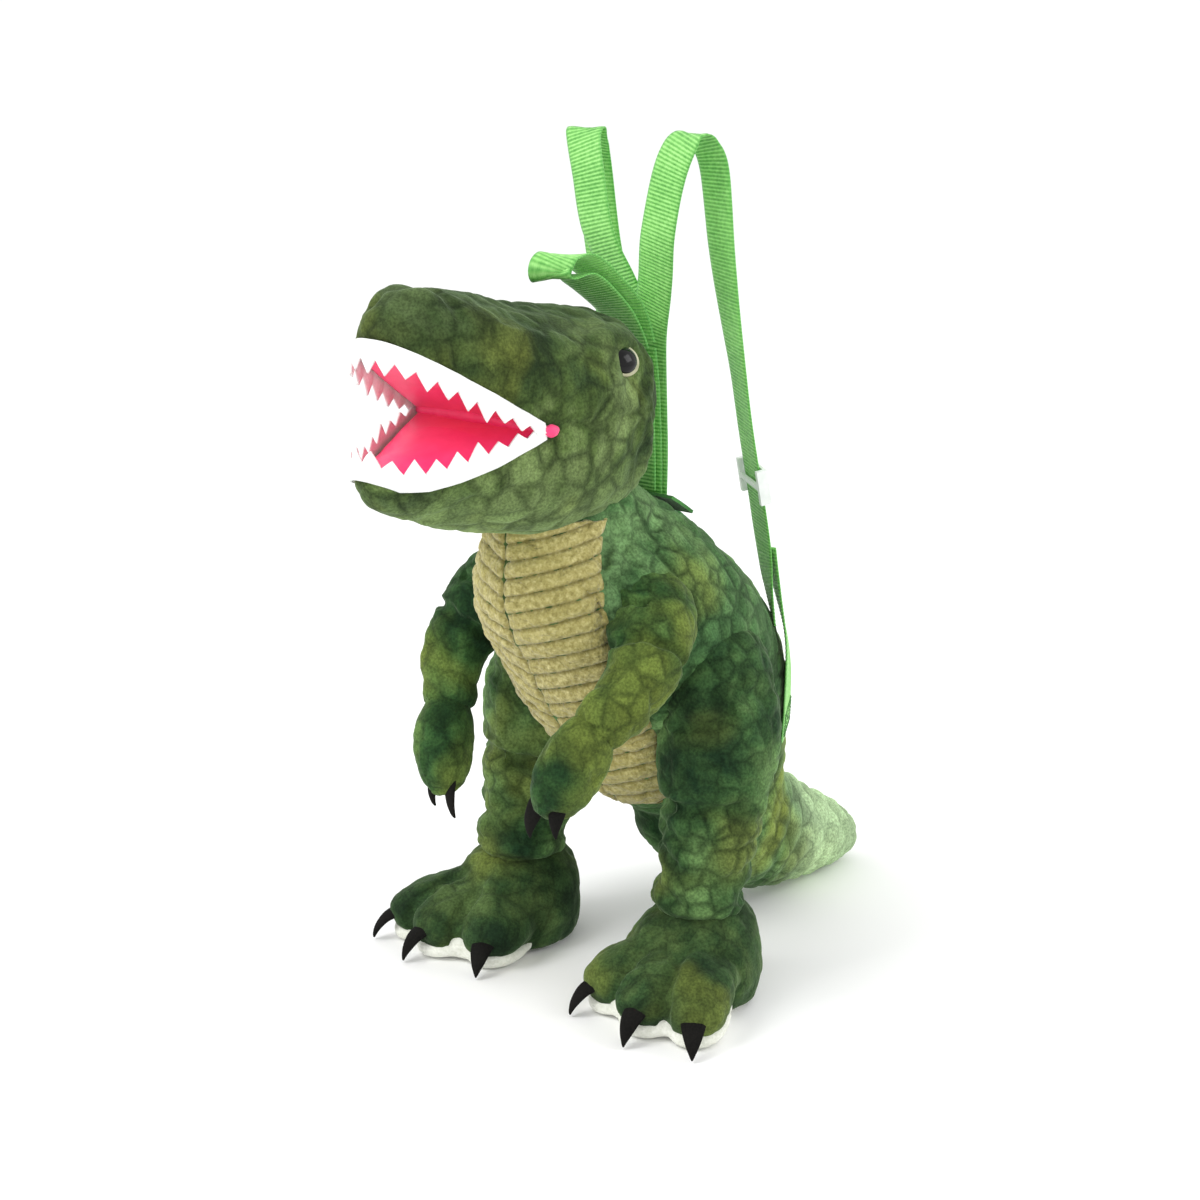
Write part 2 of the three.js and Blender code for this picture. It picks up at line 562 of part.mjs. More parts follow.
for (const [label, side] of [['left', 1], ['right', -1]]) {
  const place = (manifold) => {
    const geometry = geometryOf(manifold).applyMatrix4(mirrored(side));
    if (side < 0) geometry.index.array.reverse();
    return geometry;
  };
  const shell = legOuter.subtract(inside(0)).subtract(legInner.subtract(inside(PLUSH))).subtract(sock);
  piece(`leg_skin_${label}`, place(shell), MAT.plush);
  piece(`leg_fill_${label}`, place(legFill.subtract(inside(PLUSH + 2))), MAT.stuffing);
  piece(`foot_skin_${label}`, place(footOuter.subtract(footInner).subtract(sock)), MAT.footPlush);
  piece(`foot_fill_${label}`, place(footFill), MAT.stuffing);
  piece(`sole_${label}`, place(sole), MAT.sole);
  for (const [which, [degrees, reach]] of Object.entries(TOES)) {
    const angle = THREE.MathUtils.degToRad(degrees);
    const out = (d, z) => [ANKLE.x + Math.sin(angle) * d, ANKLE.y - Math.cos(angle) * d, z];
    const claw = solid(spike(out(reach - 12, 17), out(reach + 15, 4), 7));
    const above = block([0, -150, 2.6], [220, 150, 60]);
    piece(`toe_claw_${which}_${label}`, place(claw.subtract(footClear).intersect(above)), MAT.claw);
  }
}

// ---------------------------------------------------------------- tail
const TAIL = [
  [0, 106, TAIL_Z - GAP, 46, 53], [0, 111, 80, 47, 50], [0, 133, 61, 44, 46], [0, 166, 47, 39, 40],
  [0, 203, 36, 32, 32.5], [0, 235, 27, 25, 25.5], [0, 258, 21, 17, 18], [0, 269, 18, 7, 8],
];
const aboveTail = (inset) => block([-90, -50, TAIL_Z - GAP - inset], [90, 300, 200]);
const tailOuter = solid(loft(TAIL, { sides: 16 })).subtract(aboveTail(0));
const tailInner = solid(loft(TAIL, { sides: 16, grow: -PLUSH })).subtract(aboveTail(PLUSH));
const tailPort = block([-20, 90, 80], [20, 125, 120]);
piece('tail_skin', tailOuter.subtract(tailInner).subtract(tailPort), MAT.tailPlush);
piece('tail_fill',
  solid(loft(TAIL, { sides: 12, grow: -PLUSH - 2 })).subtract(aboveTail(PLUSH + 2)), MAT.stuffing);

// ---------------------------------------------------------------- straps, handle, adjusters
// Left-side routes as [x, y, z, twist]. The right side is their mirror image.
// The upper straps lie one over the other up the nape, so the right one starts a layer further back.
const STRAP_LAYER = { left: 0, right: 2.4 };
const upperStrap = (layer) => [
  [1, 54.5 + layer, 297, 0], [1, 54.5 + layer, 340, 0], [3, 50.5 + layer, 393, 0],
  [15, 41 + layer, 428, 0], [24, 32.5 + layer / 3, 457, 0], [31, 33, 489, 0], [37, 36, 507, 0],
  [41, 42, 514, 2], [44, 49, 510, 4], [47, 56, 494, 8], [47, 63, 447, 14], [46, 75, 398, 24],
  [46, 84, 362, 30], [46.5, 96, 312, 30], [47, 108, 262, 30], [52, 107.5, 235, 40],
  [59.5, 105, 212, 50],
];
const LOWER_STRAP = [
  [51, 128.6, 136, 61], [58, 121, 160, 60], [66, 110.5, 185, 58], [65, 109.6, 205, 52],
  [56, 112, 232, 42], [49.2, 111.2, 260, 30],
];
// The carrying handle is one folded band: outer layer up and over, inner layer back again.
const HANDLE_BASE = [
  [[51, 297.6], [50.4, 330], [48, 365], [44.5, 388]],
  [[45, 301], [44.2, 330], [42.5, 365], [39.2, 384]],
];
const HANDLE = [
  [43.8, 391.5], [38, 405], [26, 420], [-6, 443], [-24, 447], [-33, 442], [-31, 436], [-10, 434],
  [17, 416], [31, 401], [38.2, 388.5],
];
function bandSlab(route, count) {
  const curve = new THREE.SplineCurve(route.map(([y, z]) => new THREE.Vector2(y, z)));
  const points = curve.getPoints(count);
  const [left, right] = [[], []];
  points.forEach((p, i) => {
    const ahead = points[Math.min(i + 1, points.length - 1)];
    const behind = points[Math.max(i - 1, 0)];
    const normal = new THREE.Vector2(behind.y - ahead.y, ahead.x - behind.x).normalize();
    normal.multiplyScalar(STRAP.thick / 2);
    left.push([p.x + normal.x, p.y + normal.y]);
    right.push([p.x - normal.x, p.y - normal.y]);
  });
  return slab([...left, ...right.reverse()], -STRAP.width / 2, STRAP.width / 2);
}
// A stitched spacer joins the two standing layers of the handle into one piece.
function handleBase() {
  const [outer, inner] = HANDLE_BASE.map((route) => bandSlab(route, 5));
  return outer.add(inner).add(block([-11, 42.6, 306], [11, 50.4, 311]));
}

const ADJUSTER_AT = new THREE.Vector3(46.58, 97.92, 304);
const strapDown = new THREE.Vector3(1, 24, -100).normalize();
function adjusterFrame() {
  const twist = THREE.MathUtils.degToRad(30);
  const across = new THREE.Vector3(Math.cos(twist), -Math.sin(twist), 0);
  across.addScaledVector(strapDown, -across.dot(strapDown)).normalize();
  const up = strapDown.clone().negate();
  const out = up.clone().cross(across);
  return new THREE.Matrix4().makeBasis(across, out, up).setPosition(ADJUSTER_AT);
}
function adjusterSolid() {
  let body = block([13.4, -3.4, -11], [16.6, 3.4, 11]).add(block([-16.6, -3.4, -11], [-13.4, 3.4, 11]));
  body = body.add(block([-14, 1.6, 7.6], [14, 3.4, 11])).add(block([-14, 1.6, -11], [14, 3.4, -7.6]));
  return body.add(block([-14, -3.4, -1.8], [14, -1.6, 1.8]));
}

for (const [label, side] of [['left', 1], ['right', -1]]) {
  const place = (geometry) => {
    geometry.applyMatrix4(mirrored(side));
    if (side < 0) geometry.index.array.reverse();
    return geometry;
  };
  const band = (rows) => ribbon(rows, STRAP.width, STRAP.thick, 2);
  piece(`strap_upper_${label}`, place(band(upperStrap(STRAP_LAYER[label]))), MAT.webbing);
  piece(`strap_lower_${label}`, place(band(LOWER_STRAP)), MAT.webbing);
  piece(`strap_adjuster_${label}`,
    place(geometryOf(adjusterSolid()).applyMatrix4(adjusterFrame())), MAT.plastic);
}
piece('handle_base', handleBase(), MAT.webbing);
piece('handle_loop', bandSlab(HANDLE, 26), MAT.webbing);

// The patch at the nape that the straps and the handle are sewn to.
piece('strap_anchor_patch', arcBand(ZIP.r + GAP, ZIP.r + 2.3, 55.2, 60.8, -27, 27, 3), MAT.lining);

const zipSlider = onZip(standUp(sliderGeometry()), SLIDER_AT, ZIP.r + 1.6);
piece('zip_slider', zipSlider, MAT.zip);
piece('zip_pull', onZip(standUp(pullGeometry()), SLIDER_AT, ZIP.r + 5.2), MAT.zip);

export default group;
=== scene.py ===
"""Looks for the plush dinosaur backpack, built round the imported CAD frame. Metres, +Z up, facing -Y."""
import math

import bmesh
import bpy
import numpy as np
from mathutils import Matrix, Vector
from mathutils.bvhtree import BVHTree


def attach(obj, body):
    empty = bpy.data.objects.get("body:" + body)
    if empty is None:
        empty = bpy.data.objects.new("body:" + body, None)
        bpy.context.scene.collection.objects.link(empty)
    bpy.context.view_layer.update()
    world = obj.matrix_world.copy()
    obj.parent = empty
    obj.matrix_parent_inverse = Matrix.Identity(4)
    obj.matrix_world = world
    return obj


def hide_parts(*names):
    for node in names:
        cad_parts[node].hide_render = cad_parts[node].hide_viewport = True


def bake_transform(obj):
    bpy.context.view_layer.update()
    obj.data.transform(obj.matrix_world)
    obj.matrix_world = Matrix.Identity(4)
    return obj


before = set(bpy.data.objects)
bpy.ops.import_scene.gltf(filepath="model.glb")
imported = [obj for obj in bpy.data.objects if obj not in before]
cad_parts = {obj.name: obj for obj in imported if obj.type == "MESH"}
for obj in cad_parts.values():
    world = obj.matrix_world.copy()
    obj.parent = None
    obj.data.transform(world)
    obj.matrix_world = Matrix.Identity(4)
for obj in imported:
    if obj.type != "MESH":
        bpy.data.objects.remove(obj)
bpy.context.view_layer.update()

MM = 0.001
SHIFT_Y = -43.03          # the dinosaur's own y = 0 in the row frame, millimetres
SIDES = (("left", 1), ("right", -1))


def at(x, y, z):
    """A point of the dinosaur's own frame, given in millimetres."""
    return Vector((x * MM, (y + SHIFT_Y) * MM, z * MM))


def add_object(name, data):
    obj = bpy.data.objects.new(name, data)
    bpy.context.scene.collection.objects.link(obj)
    return obj


def aim(obj, place, target):
    """Puts a camera or a light at a place, looking at the target."""
    obj.location = place
    obj.rotation_euler = (Vector(target) - obj.location).to_track_quat("-Z", "Y").to_euler()


# ------------------------------------------------------------------ camera
def add_camera():
    data = bpy.data.cameras.new("camera")
    data.sensor_width = 36
    data.lens = 69.9
    camera = add_object("camera", data)
    aim(camera, at(912, -1004, 600), at(62, -60, 262))
    bpy.context.scene.camera = camera


add_camera()


# ------------------------------------------------------------------ mesh helpers
def add_mesh(name, verts, faces, smooth=True):
    mesh = bpy.data.meshes.new(name)
    mesh.from_pydata([tuple(v) for v in verts], [], faces)
    mesh.validate()
    obj = add_object(name, mesh)
    mesh.polygons.foreach_set("use_smooth", [smooth] * len(mesh.polygons))
    return obj


def grid(rings, count, closed=False):
    """Quads between neighbouring rings, each of this many points."""
    last = count if closed else count - 1
    return [(r * count + i, r * count + (i + 1) % count, (r + 1) * count + (i + 1) % count,
             (r + 1) * count + i) for r in range(rings - 1) for i in range(last)]


def caps(rings, count):
    """The two faces that close the first ring and the last one."""
    return [tuple(range(count))[::-1], tuple((rings - 1) * count + k for k in range(count))]


def bake(obj):
    """Applies the object's modifiers to its mesh."""
    graph = bpy.context.evaluated_depsgraph_get()
    graph.update()
    mesh = bpy.data.meshes.new_from_object(
        obj.evaluated_get(graph), preserve_all_data_layers=True, depsgraph=graph)
    old = obj.data
    obj.modifiers.clear()
    obj.data = mesh
    mesh.name = obj.name
    bpy.data.meshes.remove(old)
    return obj


def points_of(obj):
    co = np.empty(len(obj.data.vertices) * 3)
    obj.data.vertices.foreach_get("co", co)
    return co.reshape(-1, 3)


def normals_of(obj):
    no = np.empty(len(obj.data.vertices) * 3)
    obj.data.vertex_normals.foreach_get("vector", no)
    return no.reshape(-1, 3)


def set_points(obj, co):
    obj.data.vertices.foreach_set("co", np.ascontiguousarray(co).ravel())
    obj.data.update()


def shade_smooth(obj):
    obj.data.polygons.foreach_set("use_smooth", [True] * len(obj.data.polygons))


def join(name, objects):
    graph = bmesh.new()
    for obj in objects:
        graph.from_mesh(obj.data)
        bpy.data.objects.remove(obj)
    mesh = bpy.data.meshes.new(name)
    graph.to_mesh(mesh)
    graph.free()
    return add_object(name, mesh)


def remesh(obj, voxel, smoothing):
    mod = obj.modifiers.new("voxel", "REMESH")
    mod.mode = "VOXEL"
    mod.voxel_size = voxel
    mod.use_smooth_shade = True
    soften = obj.modifiers.new("soften", "SMOOTH")
    soften.factor = 0.5
    soften.iterations = smoothing
    return bake(obj)


def subdivide(obj):
    mod = obj.modifiers.new("subdivide", "SUBSURF")
    mod.levels = mod.render_levels = 1
    bake(obj)
    shade_smooth(obj)
    return obj


def thicken(obj, thickness, offset=0):
    mod = obj.modifiers.new("thick", "SOLIDIFY")
    mod.thickness = thickness
    mod.offset = offset
    return bake(obj)


def cut_away(obj, other):
    mod = obj.modifiers.new("cut", "BOOLEAN")
    mod.operation = "DIFFERENCE"
    mod.object = other
    mod.solver = "EXACT"
    bake(obj)
    bpy.data.objects.remove(other)
    return obj


# ------------------------------------------------------------------ lofts
def spline(rows, steps):
    """Catmull-Rom rows between the given rows of numbers."""
    rows = np.array(rows, float)
    out = []
    last = len(rows) - 1
    for i in range(last):
        a, b, c, d = rows[max(i - 1, 0)], rows[i], rows[i + 1], rows[min(i + 2, last)]
        for s in range(steps):
            t = s / steps
            out.append(0.5 * (2 * b + (c - a) * t + (2 * a - 5 * b + 4 * c - d) * t * t
                              + (3 * b - a - 3 * c + d) * t ** 3))
    out.append(rows[last])
    return np.array(out)


def loft(name, rows, sides=48, steps=5, power=2.0, axis=(1, 0, 0), facing=None):
    """A closed skin over rings. Rows are x, y, z, half size along the side axis, and across it."""
    fine = spline(rows, steps)
    count = len(fine)
    verts = []
    angles = 2 * np.pi * (np.arange(sides) + 0.5) / sides
    c, s = np.cos(angles), np.sin(angles)
    for i, row in enumerate(fine):
        if facing is None:
            along = Vector(fine[min(i + 1, count - 1)][:3] - fine[max(i - 1, 0)][:3]).normalized()
        else:
            along = Vector(facing)
        across = Vector(axis)
        across = (across - across.dot(along) * along).normalized()
        up = along.cross(across)
        u = np.sign(c) * np.abs(c) ** (2 / power) * max(row[3], 0.5)
        v = np.sign(s) * np.abs(s) ** (2 / power) * max(row[4], 0.5)
        for j in range(sides):
            p = Vector(row[:3]) + across * u[j] + up * v[j]
            verts.append(at(*p))
    verts += [at(*fine[0][:3]), at(*fine[-1][:3])]
    faces = grid(count, sides, closed=True)
    start = count * sides
    for j in range(sides):
        k = (j + 1) % sides
        faces.append((start, k, j))
        faces.append((start + 1, (count - 1) * sides + j, (count - 1) * sides + k))
    return add_mesh(name, verts, faces)


def lathe(name, centre, normal, long_axis, profile, stretch=1.0, segments=48):
    """A closed dome: profile is (radius, height) pairs in millimetres, from the rim to the middle."""
    across = (long_axis - long_axis.dot(normal) * normal).normalized()
    up = normal.cross(across)
    verts = []
    for radius, height in profile:
        for k in range(segments):
            a = 2 * math.pi * k / segments
            verts.append(centre + (across * math.cos(a) * radius * stretch + up * math.sin(a) * radius
                                   + normal * height) * MM)
    rings = len(profile)
    return add_mesh(name, verts, grid(rings, segments, closed=True) + caps(rings, segments))


def dome(radius, height, sunk=2.5, steps=10):
    arc = np.linspace(0, 0.97 * math.pi / 2, steps)
    return [(radius, -sunk)] + [(radius * math.cos(a), height * math.sin(a)) for a in arc]


# ------------------------------------------------------------------ cloth
PRESSURE = 4.0
CLOTH_FRAMES = 16


def puff(obj, seam, cap):
    """Inflates a sewn shell by cap metres at most. seam(points) is 1 where a seam holds it, else 0."""
    before = points_of(obj)
    held = seam(own(obj))
    group = obj.vertex_groups.new(name="seam")
    for i in np.nonzero(held > 0.05)[0]:
        group.add([int(i)], float(min(held[i], 1)), "REPLACE")
    mod = obj.modifiers.new("cloth", "CLOTH")
    cloth = mod.settings
    cloth.quality = 6
    cloth.mass = 0.25
    cloth.tension_stiffness = 14
    cloth.compression_stiffness = 10
    cloth.shear_stiffness = 6
    cloth.bending_stiffness = 0.6
    cloth.use_pressure = True
    cloth.uniform_pressure_force = PRESSURE
    cloth.vertex_group_mass = "seam"
    cloth.pin_stiffness = 20
    cloth.effector_weights.gravity = 0
    cloth.shrink_min = -0.03
    mod.collision_settings.use_collision = False
    mod.point_cache.frame_start = 1
    mod.point_cache.frame_end = CLOTH_FRAMES
    scene = bpy.context.scene
    for number in range(1, CLOTH_FRAMES + 1):
        scene.frame_set(number)
    bake(obj)
    scene.frame_set(1)
    after = points_of(obj)
    move = after - before
    size = np.linalg.norm(move, axis=1, keepdims=True)
    move *= np.minimum(1, cap / np.maximum(size, 1e-9))
    set_points(obj, before + move)
    shade_smooth(obj)
    return obj


# ------------------------------------------------------------------ node helpers
class Tree:
    """Small helper for node trees, shader or geometry."""

    def __init__(self, tree):
        self.tree = tree

    def node(self, kind, inputs=(), **settings):
        n = self.tree.nodes.new(kind)
        for key, value in settings.items():
            setattr(n, key, value)
        for key, value in dict(inputs).items():
            if isinstance(value, bpy.types.NodeSocket):
                self.tree.links.new(value, n.inputs[key])
            else:
                n.inputs[key].default_value = value
        return n

    def rest(self):
        """The stored rest position, so a pattern stays put when a seam bends."""
        return self.node("ShaderNodeAttribute", attribute_name="rest").outputs["Vector"]

    def grey(self, value):
        return self.node("ShaderNodeCombineColor", {0: value, 1: value, 2: value}).outputs[0]

    def finish(self, shader, colour, height, strength, distance):
        """Links the colour, and a bump from the height, to the shader."""
        self.tree.links.new(colour, shader.inputs["Base Color"])
        bump = self.node("ShaderNodeBump", {"Strength": strength, "Distance": distance, "Height": height})
        self.tree.links.new(bump.outputs[0], shader.inputs["Normal"])

    def math(self, operation, a, b=0.0, c=0.0, clamp=False):
        n = self.node("ShaderNodeMath", {0: a, 1: b, 2: c}, operation=operation, use_clamp=clamp)
        return n.outputs[0]

    def vector(self, operation, a, b=(0, 0, 0)):
        n = self.node("ShaderNodeVectorMath", {0: a, 1: b}, operation=operation)
        return n.outputs[0]

    def scaled(self, a, factor):
        n = self.node("ShaderNodeVectorMath", {0: a, "Scale": factor}, operation="SCALE")
        return n.outputs[0]

    def smooth(self, value, low, high, to_low=0.0, to_high=1.0):
        n = self.node("ShaderNodeMapRange",
                      {0: value, 1: low, 2: high, 3: to_low, 4: to_high},
                      interpolation_type="SMOOTHSTEP")
        return n.outputs[0]

    def noise(self, coord, scale, detail=2.0, rough=0.5):
        return self.node("ShaderNodeTexNoise",
                         {"Vector": coord, "Scale": scale, "Detail": detail, "Roughness": rough})

    def voronoi(self, coord, scale, feature="F1", randomness=1.0):
        return self.node("ShaderNodeTexVoronoi",
                         {"Vector": coord, "Scale": scale, "Randomness": randomness}, feature=feature)

    def mix(self, factor, a, b, blend="MIX"):
        n = self.node("ShaderNodeMix", data_type="RGBA", blend_type=blend)
        for key, value in ((0, factor), (6, a), (7, b)):
            if isinstance(value, bpy.types.NodeSocket):
                self.tree.links.new(value, n.inputs[key])
            else:
                n.inputs[key].default_value = value
        return n.outputs[2]

    def ramp(self, value, stops):
        n = self.node("ShaderNodeValToRGB", {0: value})
        elements = n.color_ramp.elements
        for _ in range(len(stops) - 2):
            elements.new(0.5)
        for element, (position, colour) in zip(elements, stops):
            element.position = position
            element.color = (*colour, 1)
        return n.outputs[0]


def srgb(text):
    """Linear colour from a hex string."""
    out = []
    for i in (1, 3, 5):
        c = int(text[i:i + 2], 16) / 255
        out.append(c / 12.92 if c <= 0.04045 else ((c + 0.055) / 1.055) ** 2.4)
    return tuple(out)


# ------------------------------------------------------------------ scale pattern
# The same nodes shape the mesh (embossed scales) and colour it (dark outlines), from one
# stored attribute, so print and relief line up and stay put when a seam bends.
def scale_pattern(t, rest, size):
    wander = t.noise(rest, 14.0, 1.0)
    centred = t.vector("SUBTRACT", wander.outputs[1], (0.5, 0.5, 0.5))
    coord = t.vector("ADD", rest, t.scaled(centred, 0.35 * size))
    edge = t.voronoi(coord, 1 / size, "DISTANCE_TO_EDGE", 0.9).outputs["Distance"]
    cell = t.voronoi(coord, 1 / size, "F1", 0.9)
    return edge, cell


def emboss(obj, size, height):
    """Raises each printed scale a little; stores the rest position for the print."""
    tree = bpy.data.node_groups.new("emboss", "GeometryNodeTree")
    tree.interface.new_socket("Geometry", in_out="INPUT", socket_type="NodeSocketGeometry")
    tree.interface.new_socket("Geometry", in_out="OUTPUT", socket_type="NodeSocketGeometry")
    t = Tree(tree)
    source = t.node("NodeGroupInput")
    position = t.node("GeometryNodeInputPosition").outputs[0]
    store = t.node("GeometryNodeStoreNamedAttribute", data_type="FLOAT_VECTOR", domain="POINT")
    store.inputs["Name"].default_value = "rest"
    tree.links.new(source.outputs[0], store.inputs["Geometry"])
    tree.links.new(position, [s for s in store.inputs if s.name == "Value" and s.enabled][0])
    edge, _ = scale_pattern(t, position, size)
    rise = t.smooth(edge, 0.0, 0.3, -0.7 * height, 0.3 * height)
    normal = t.node("GeometryNodeInputNormal").outputs[0]
    offset = t.scaled(normal, rise)
    move = t.node("GeometryNodeSetPosition")
    tree.links.new(store.outputs[0], move.inputs["Geometry"])
    tree.links.new(offset, move.inputs["Offset"])
    sink = t.node("NodeGroupOutput")
    tree.links.new(move.outputs[0], sink.inputs[0])
    mod = obj.modifiers.new("emboss", "NODES")
    mod.node_group = tree
    bake(obj)
    shade_smooth(obj)
    return obj


TABLE = np.random.RandomState(7).rand(32, 32, 32)


def soft_noise(p, size):
    """Smooth random values from 0 to 1 at points p, with features of about this size."""
    q = np.asarray(p) / size
    cell = np.floor(q).astype(int)
    f = q - cell
    f = f * f * (3 - 2 * f)
    total = 0
    for dx in (0, 1):
        for dy in (0, 1):
            for dz in (0, 1):
                weight = (np.abs(1 - dx - f[:, 0]) * np.abs(1 - dy - f[:, 1]) * np.abs(1 - dz - f[:, 2]))
                total = total + weight * TABLE[(cell[:, 0] + dx) % 32, (cell[:, 1] + dy) % 32,
                                               (cell[:, 2] + dz) % 32]
    return total


def own(obj):
    """The mesh's points in the dinosaur's own millimetres."""
    return points_of(obj) / MM - np.array([0, SHIFT_Y, 0])


def push(obj, amount):
    """Moves each point along its normal by amount(points), in millimetres."""
    move = np.asarray(amount(own(obj)))[:, None] * MM
    set_points(obj, points_of(obj) + normals_of(obj) * move)
    return obj


def near(distance, width):
    """1 on a line, falling to 0 at one and a half widths from it."""
    return np.clip(1.5 - np.abs(distance) / width, 0, 1)


def store_rest(obj):
    attribute = obj.data.attributes.new("rest", "FLOAT_VECTOR", "POINT")
    attribute.data.foreach_set("vector", points_of(obj).ravel())


def sew(obj, voxel, smoothing, seams, folds, cap=0.003):
    """Makes one fabric of a rough shape, stuffs it between its seams, then creases it."""
    remesh(obj, voxel, smoothing)
    puff(obj, seams, cap)
    return push(subdivide(obj), folds)


def dress(obj, finish, slot, body_name, *nodes):
    """Gives a piece its material, the CAD nodes it stands for, and the body it rides on. The slot argument
    is not used.
    """
    if "rest" not in obj.data.attributes:
        store_rest(obj)
    obj.data.materials.append(MATS[finish])
    if nodes:
        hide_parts(*nodes)
    if body_name == "jaw":     # what is sewn into the jaw is held by the head at its corners
        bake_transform(obj)
    elif body_name:
        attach(obj, body_name)


# ------------------------------------------------------------------ materials
def new_material(name, roughness=0.8, sheen=0.0, sheen_rough=0.5, coat=0.0, specular=0.5):
    material = bpy.data.materials.new(name)
    material.use_nodes = True
    shader = material.node_tree.nodes["Principled BSDF"]
    shader.inputs["Roughness"].default_value = roughness
    shader.inputs["Sheen Weight"].default_value = sheen
    shader.inputs["Sheen Roughness"].default_value = sheen_rough
    shader.inputs["Coat Weight"].default_value = coat
    shader.inputs["Specular IOR Level"].default_value = specular
    return material, Tree(material.node_tree), shader


def plush(name, size, dark, mid, light, accent, outline=0.62, zones=(), fade=None):
    """Short-pile plush printed with soft-edged scales in mottled greens.

    zones tint the colour towards another along an axis: (axis, from, to, colour, most); the body's dark
    front zone is painted shade. fade is the stretch of Y, in millimetres, over which the outlines get
    faint."""
    material, t, shader = new_material(name, 0.95, 0.26, 0.35, specular=0.12)
    shader.inputs["Sheen Tint"].default_value = (0.62, 0.85, 0.5, 1)
    rest = t.rest()
    edge, cell = scale_pattern(t, rest, size)
    wash = t.noise(rest, 19.0, 4.0, 0.62).outputs[0]
    patch = t.noise(t.vector("ADD", rest, (3.1, 1.7, 0.4)), 13.0, 2.0, 0.5).outputs[0]
    base = t.ramp(wash, [(0.37, dark), (0.5, mid), (0.63, light)])
    base = t.mix(t.smooth(patch, 0.52, 0.68, 0.0, 0.85), base, (*accent, 1))
    place = t.node("ShaderNodeSeparateXYZ", {0: rest})
    for axis, low, high, colour, most in zones:
        base = t.mix(t.smooth(place.outputs[axis], low * MM, high * MM, 0.0, most), base, (*colour, 1))
    tint = t.node("ShaderNodeSeparateColor", {0: cell.outputs["Color"]}).outputs[0]
    shade = t.smooth(tint, 0.0, 1.0, 0.82, 1.2)
    base = t.mix(1.0, base, t.grey(shade), "MULTIPLY")
    strength = t.smooth(t.noise(rest, 33.0, 2.0).outputs[0], 0.32, 0.62, 0.35, 1.0)
    line = t.smooth(edge, 0.0, 0.21, 1.0, 0.0)
    line = t.math("MULTIPLY", line, strength)
    if fade:
        low, high = fade
        line = t.math("MULTIPLY", line, t.smooth(place.outputs[1], low * MM, high * MM, 1.0, 0.35))
    base = t.mix(t.math("MULTIPLY", line, outline), base, (*[0.30 * v for v in dark], 1))
    pile = t.noise(rest, 620.0, 2.0, 0.6).outputs[0]
    flick = t.smooth(pile, 0.3, 0.7, 0.72, 1.28)
    base = t.mix(1.0, base, t.grey(flick), "MULTIPLY")
    nap = t.noise(rest, 150.0, 3.0, 0.6).outputs[0]
    height = t.math("ADD", t.math("MULTIPLY", pile, 0.5), t.math("MULTIPLY", nap, 0.9))
    t.finish(shader, base, height, 0.5, 0.0012)
    return material


# How wide one printed scale is on each piece, in metres; the relief uses the same size.
SCALE = dict(body=0.0145, head=0.0175, arm=0.014, leg=0.0138, foot=0.016)
MATS = {
    "body": plush("plush_body", SCALE["body"], srgb("#1f3a20"), srgb("#44663a"), srgb("#739560"),
                  srgb("#7c8a3f"), fade=(105, 175),
                  # The second zone darkens the body's front beside the belly panel: painted shade for its
                  # deep folds.
                  zones=((1, 100, 165, srgb("#b0ca9c"), 0.85), (1, -55, -100, srgb("#1c3420"), 0.6),
                         (2, 150, 240, srgb("#4c6f46"), 0.3))),
    "head": plush("plush_head", SCALE["head"], srgb("#2a3c22"), srgb("#475a2e"), srgb("#6f8250"),
                  srgb("#76803a"),
                  zones=((2, 385, 425, srgb("#26361f"), 0.7), (2, 345, 305, srgb("#7f9560"), 0.55))),
    # The arm's greens are darker than the body's: painted shade for the shadow the arms sit in under the
    # neck and shoulders.
    "arm": plush("plush_arm_shaded", SCALE["arm"], srgb("#1b351e"), srgb("#33522b"), srgb("#506a37"),
                 srgb("#626f30"), outline=0.45),
    "leg": plush("plush_leg", SCALE["leg"], srgb("#1d3520"), srgb("#38552f"), srgb("#5c7a48"),
                 srgb("#66743a"), outline=0.55),
    "foot": plush("plush_foot", SCALE["foot"], srgb("#1a2c1b"), srgb("#2f4627"), srgb("#4a5f35"),
                  srgb("#5c682f"), outline=0.36),
}


def belly_material():
    material, t, shader = new_material("belly_fleece", 0.95, 0.3, 0.5, specular=0.15)
    rest = t.rest()
    clump = t.noise(rest, 330.0, 3.0, 0.7)
    loops = t.voronoi(rest, 560.0, "F1").outputs["Distance"]
    base = t.ramp(clump.outputs[0], [(0.3, srgb("#857c45")), (0.52, srgb("#aea467")),
                                     (0.72, srgb("#d2ca90"))])
    base = t.mix(t.smooth(t.noise(rest, 25.0).outputs[0], 0.35, 0.65, 0.0, 0.25), base,
                 (*srgb("#a79f5c"), 1))
    # The hollow mark darkens the stitched valleys, the centre seam and the panel's edges towards dark
    # olive: painted shade in these grooves.
    hollow_shade = t.node("ShaderNodeAttribute", attribute_name="hollow_shade").outputs["Fac"]
    base = t.mix(t.math("MULTIPLY", hollow_shade, 0.7), base, (*srgb("#5d5628"), 1))
    height = t.math("ADD", clump.outputs[0], t.math("MULTIPLY", loops, 0.5))
    t.finish(shader, base, height, 0.8, 0.0012)
    return material


def cloth_material(name, light, dark, scale, roughness=0.9, sheen=0.2, bump=0.4, distance=0.0005,
                   specular=0.3, rest=True):
    """Plain fabric or felt: fine fibres over a slow tone change."""
    material, t, shader = new_material(name, roughness, sheen, 0.5, specular=specular)
    if rest:
        coord = t.rest()
    else:
        coord = t.node("ShaderNodeTexCoord").outputs["Object"]
    fine = t.noise(coord, scale, 4.0, 0.65).outputs[0]
    slow = t.noise(coord, scale * 0.06, 2.0).outputs[0]
    tone = t.math("ADD", t.math("MULTIPLY", fine, 0.6), t.math("MULTIPLY", slow, 0.4))
    base = t.ramp(tone, [(0.32, dark), (0.62, light)])
    t.finish(shader, base, fine, bump, distance)
    return material


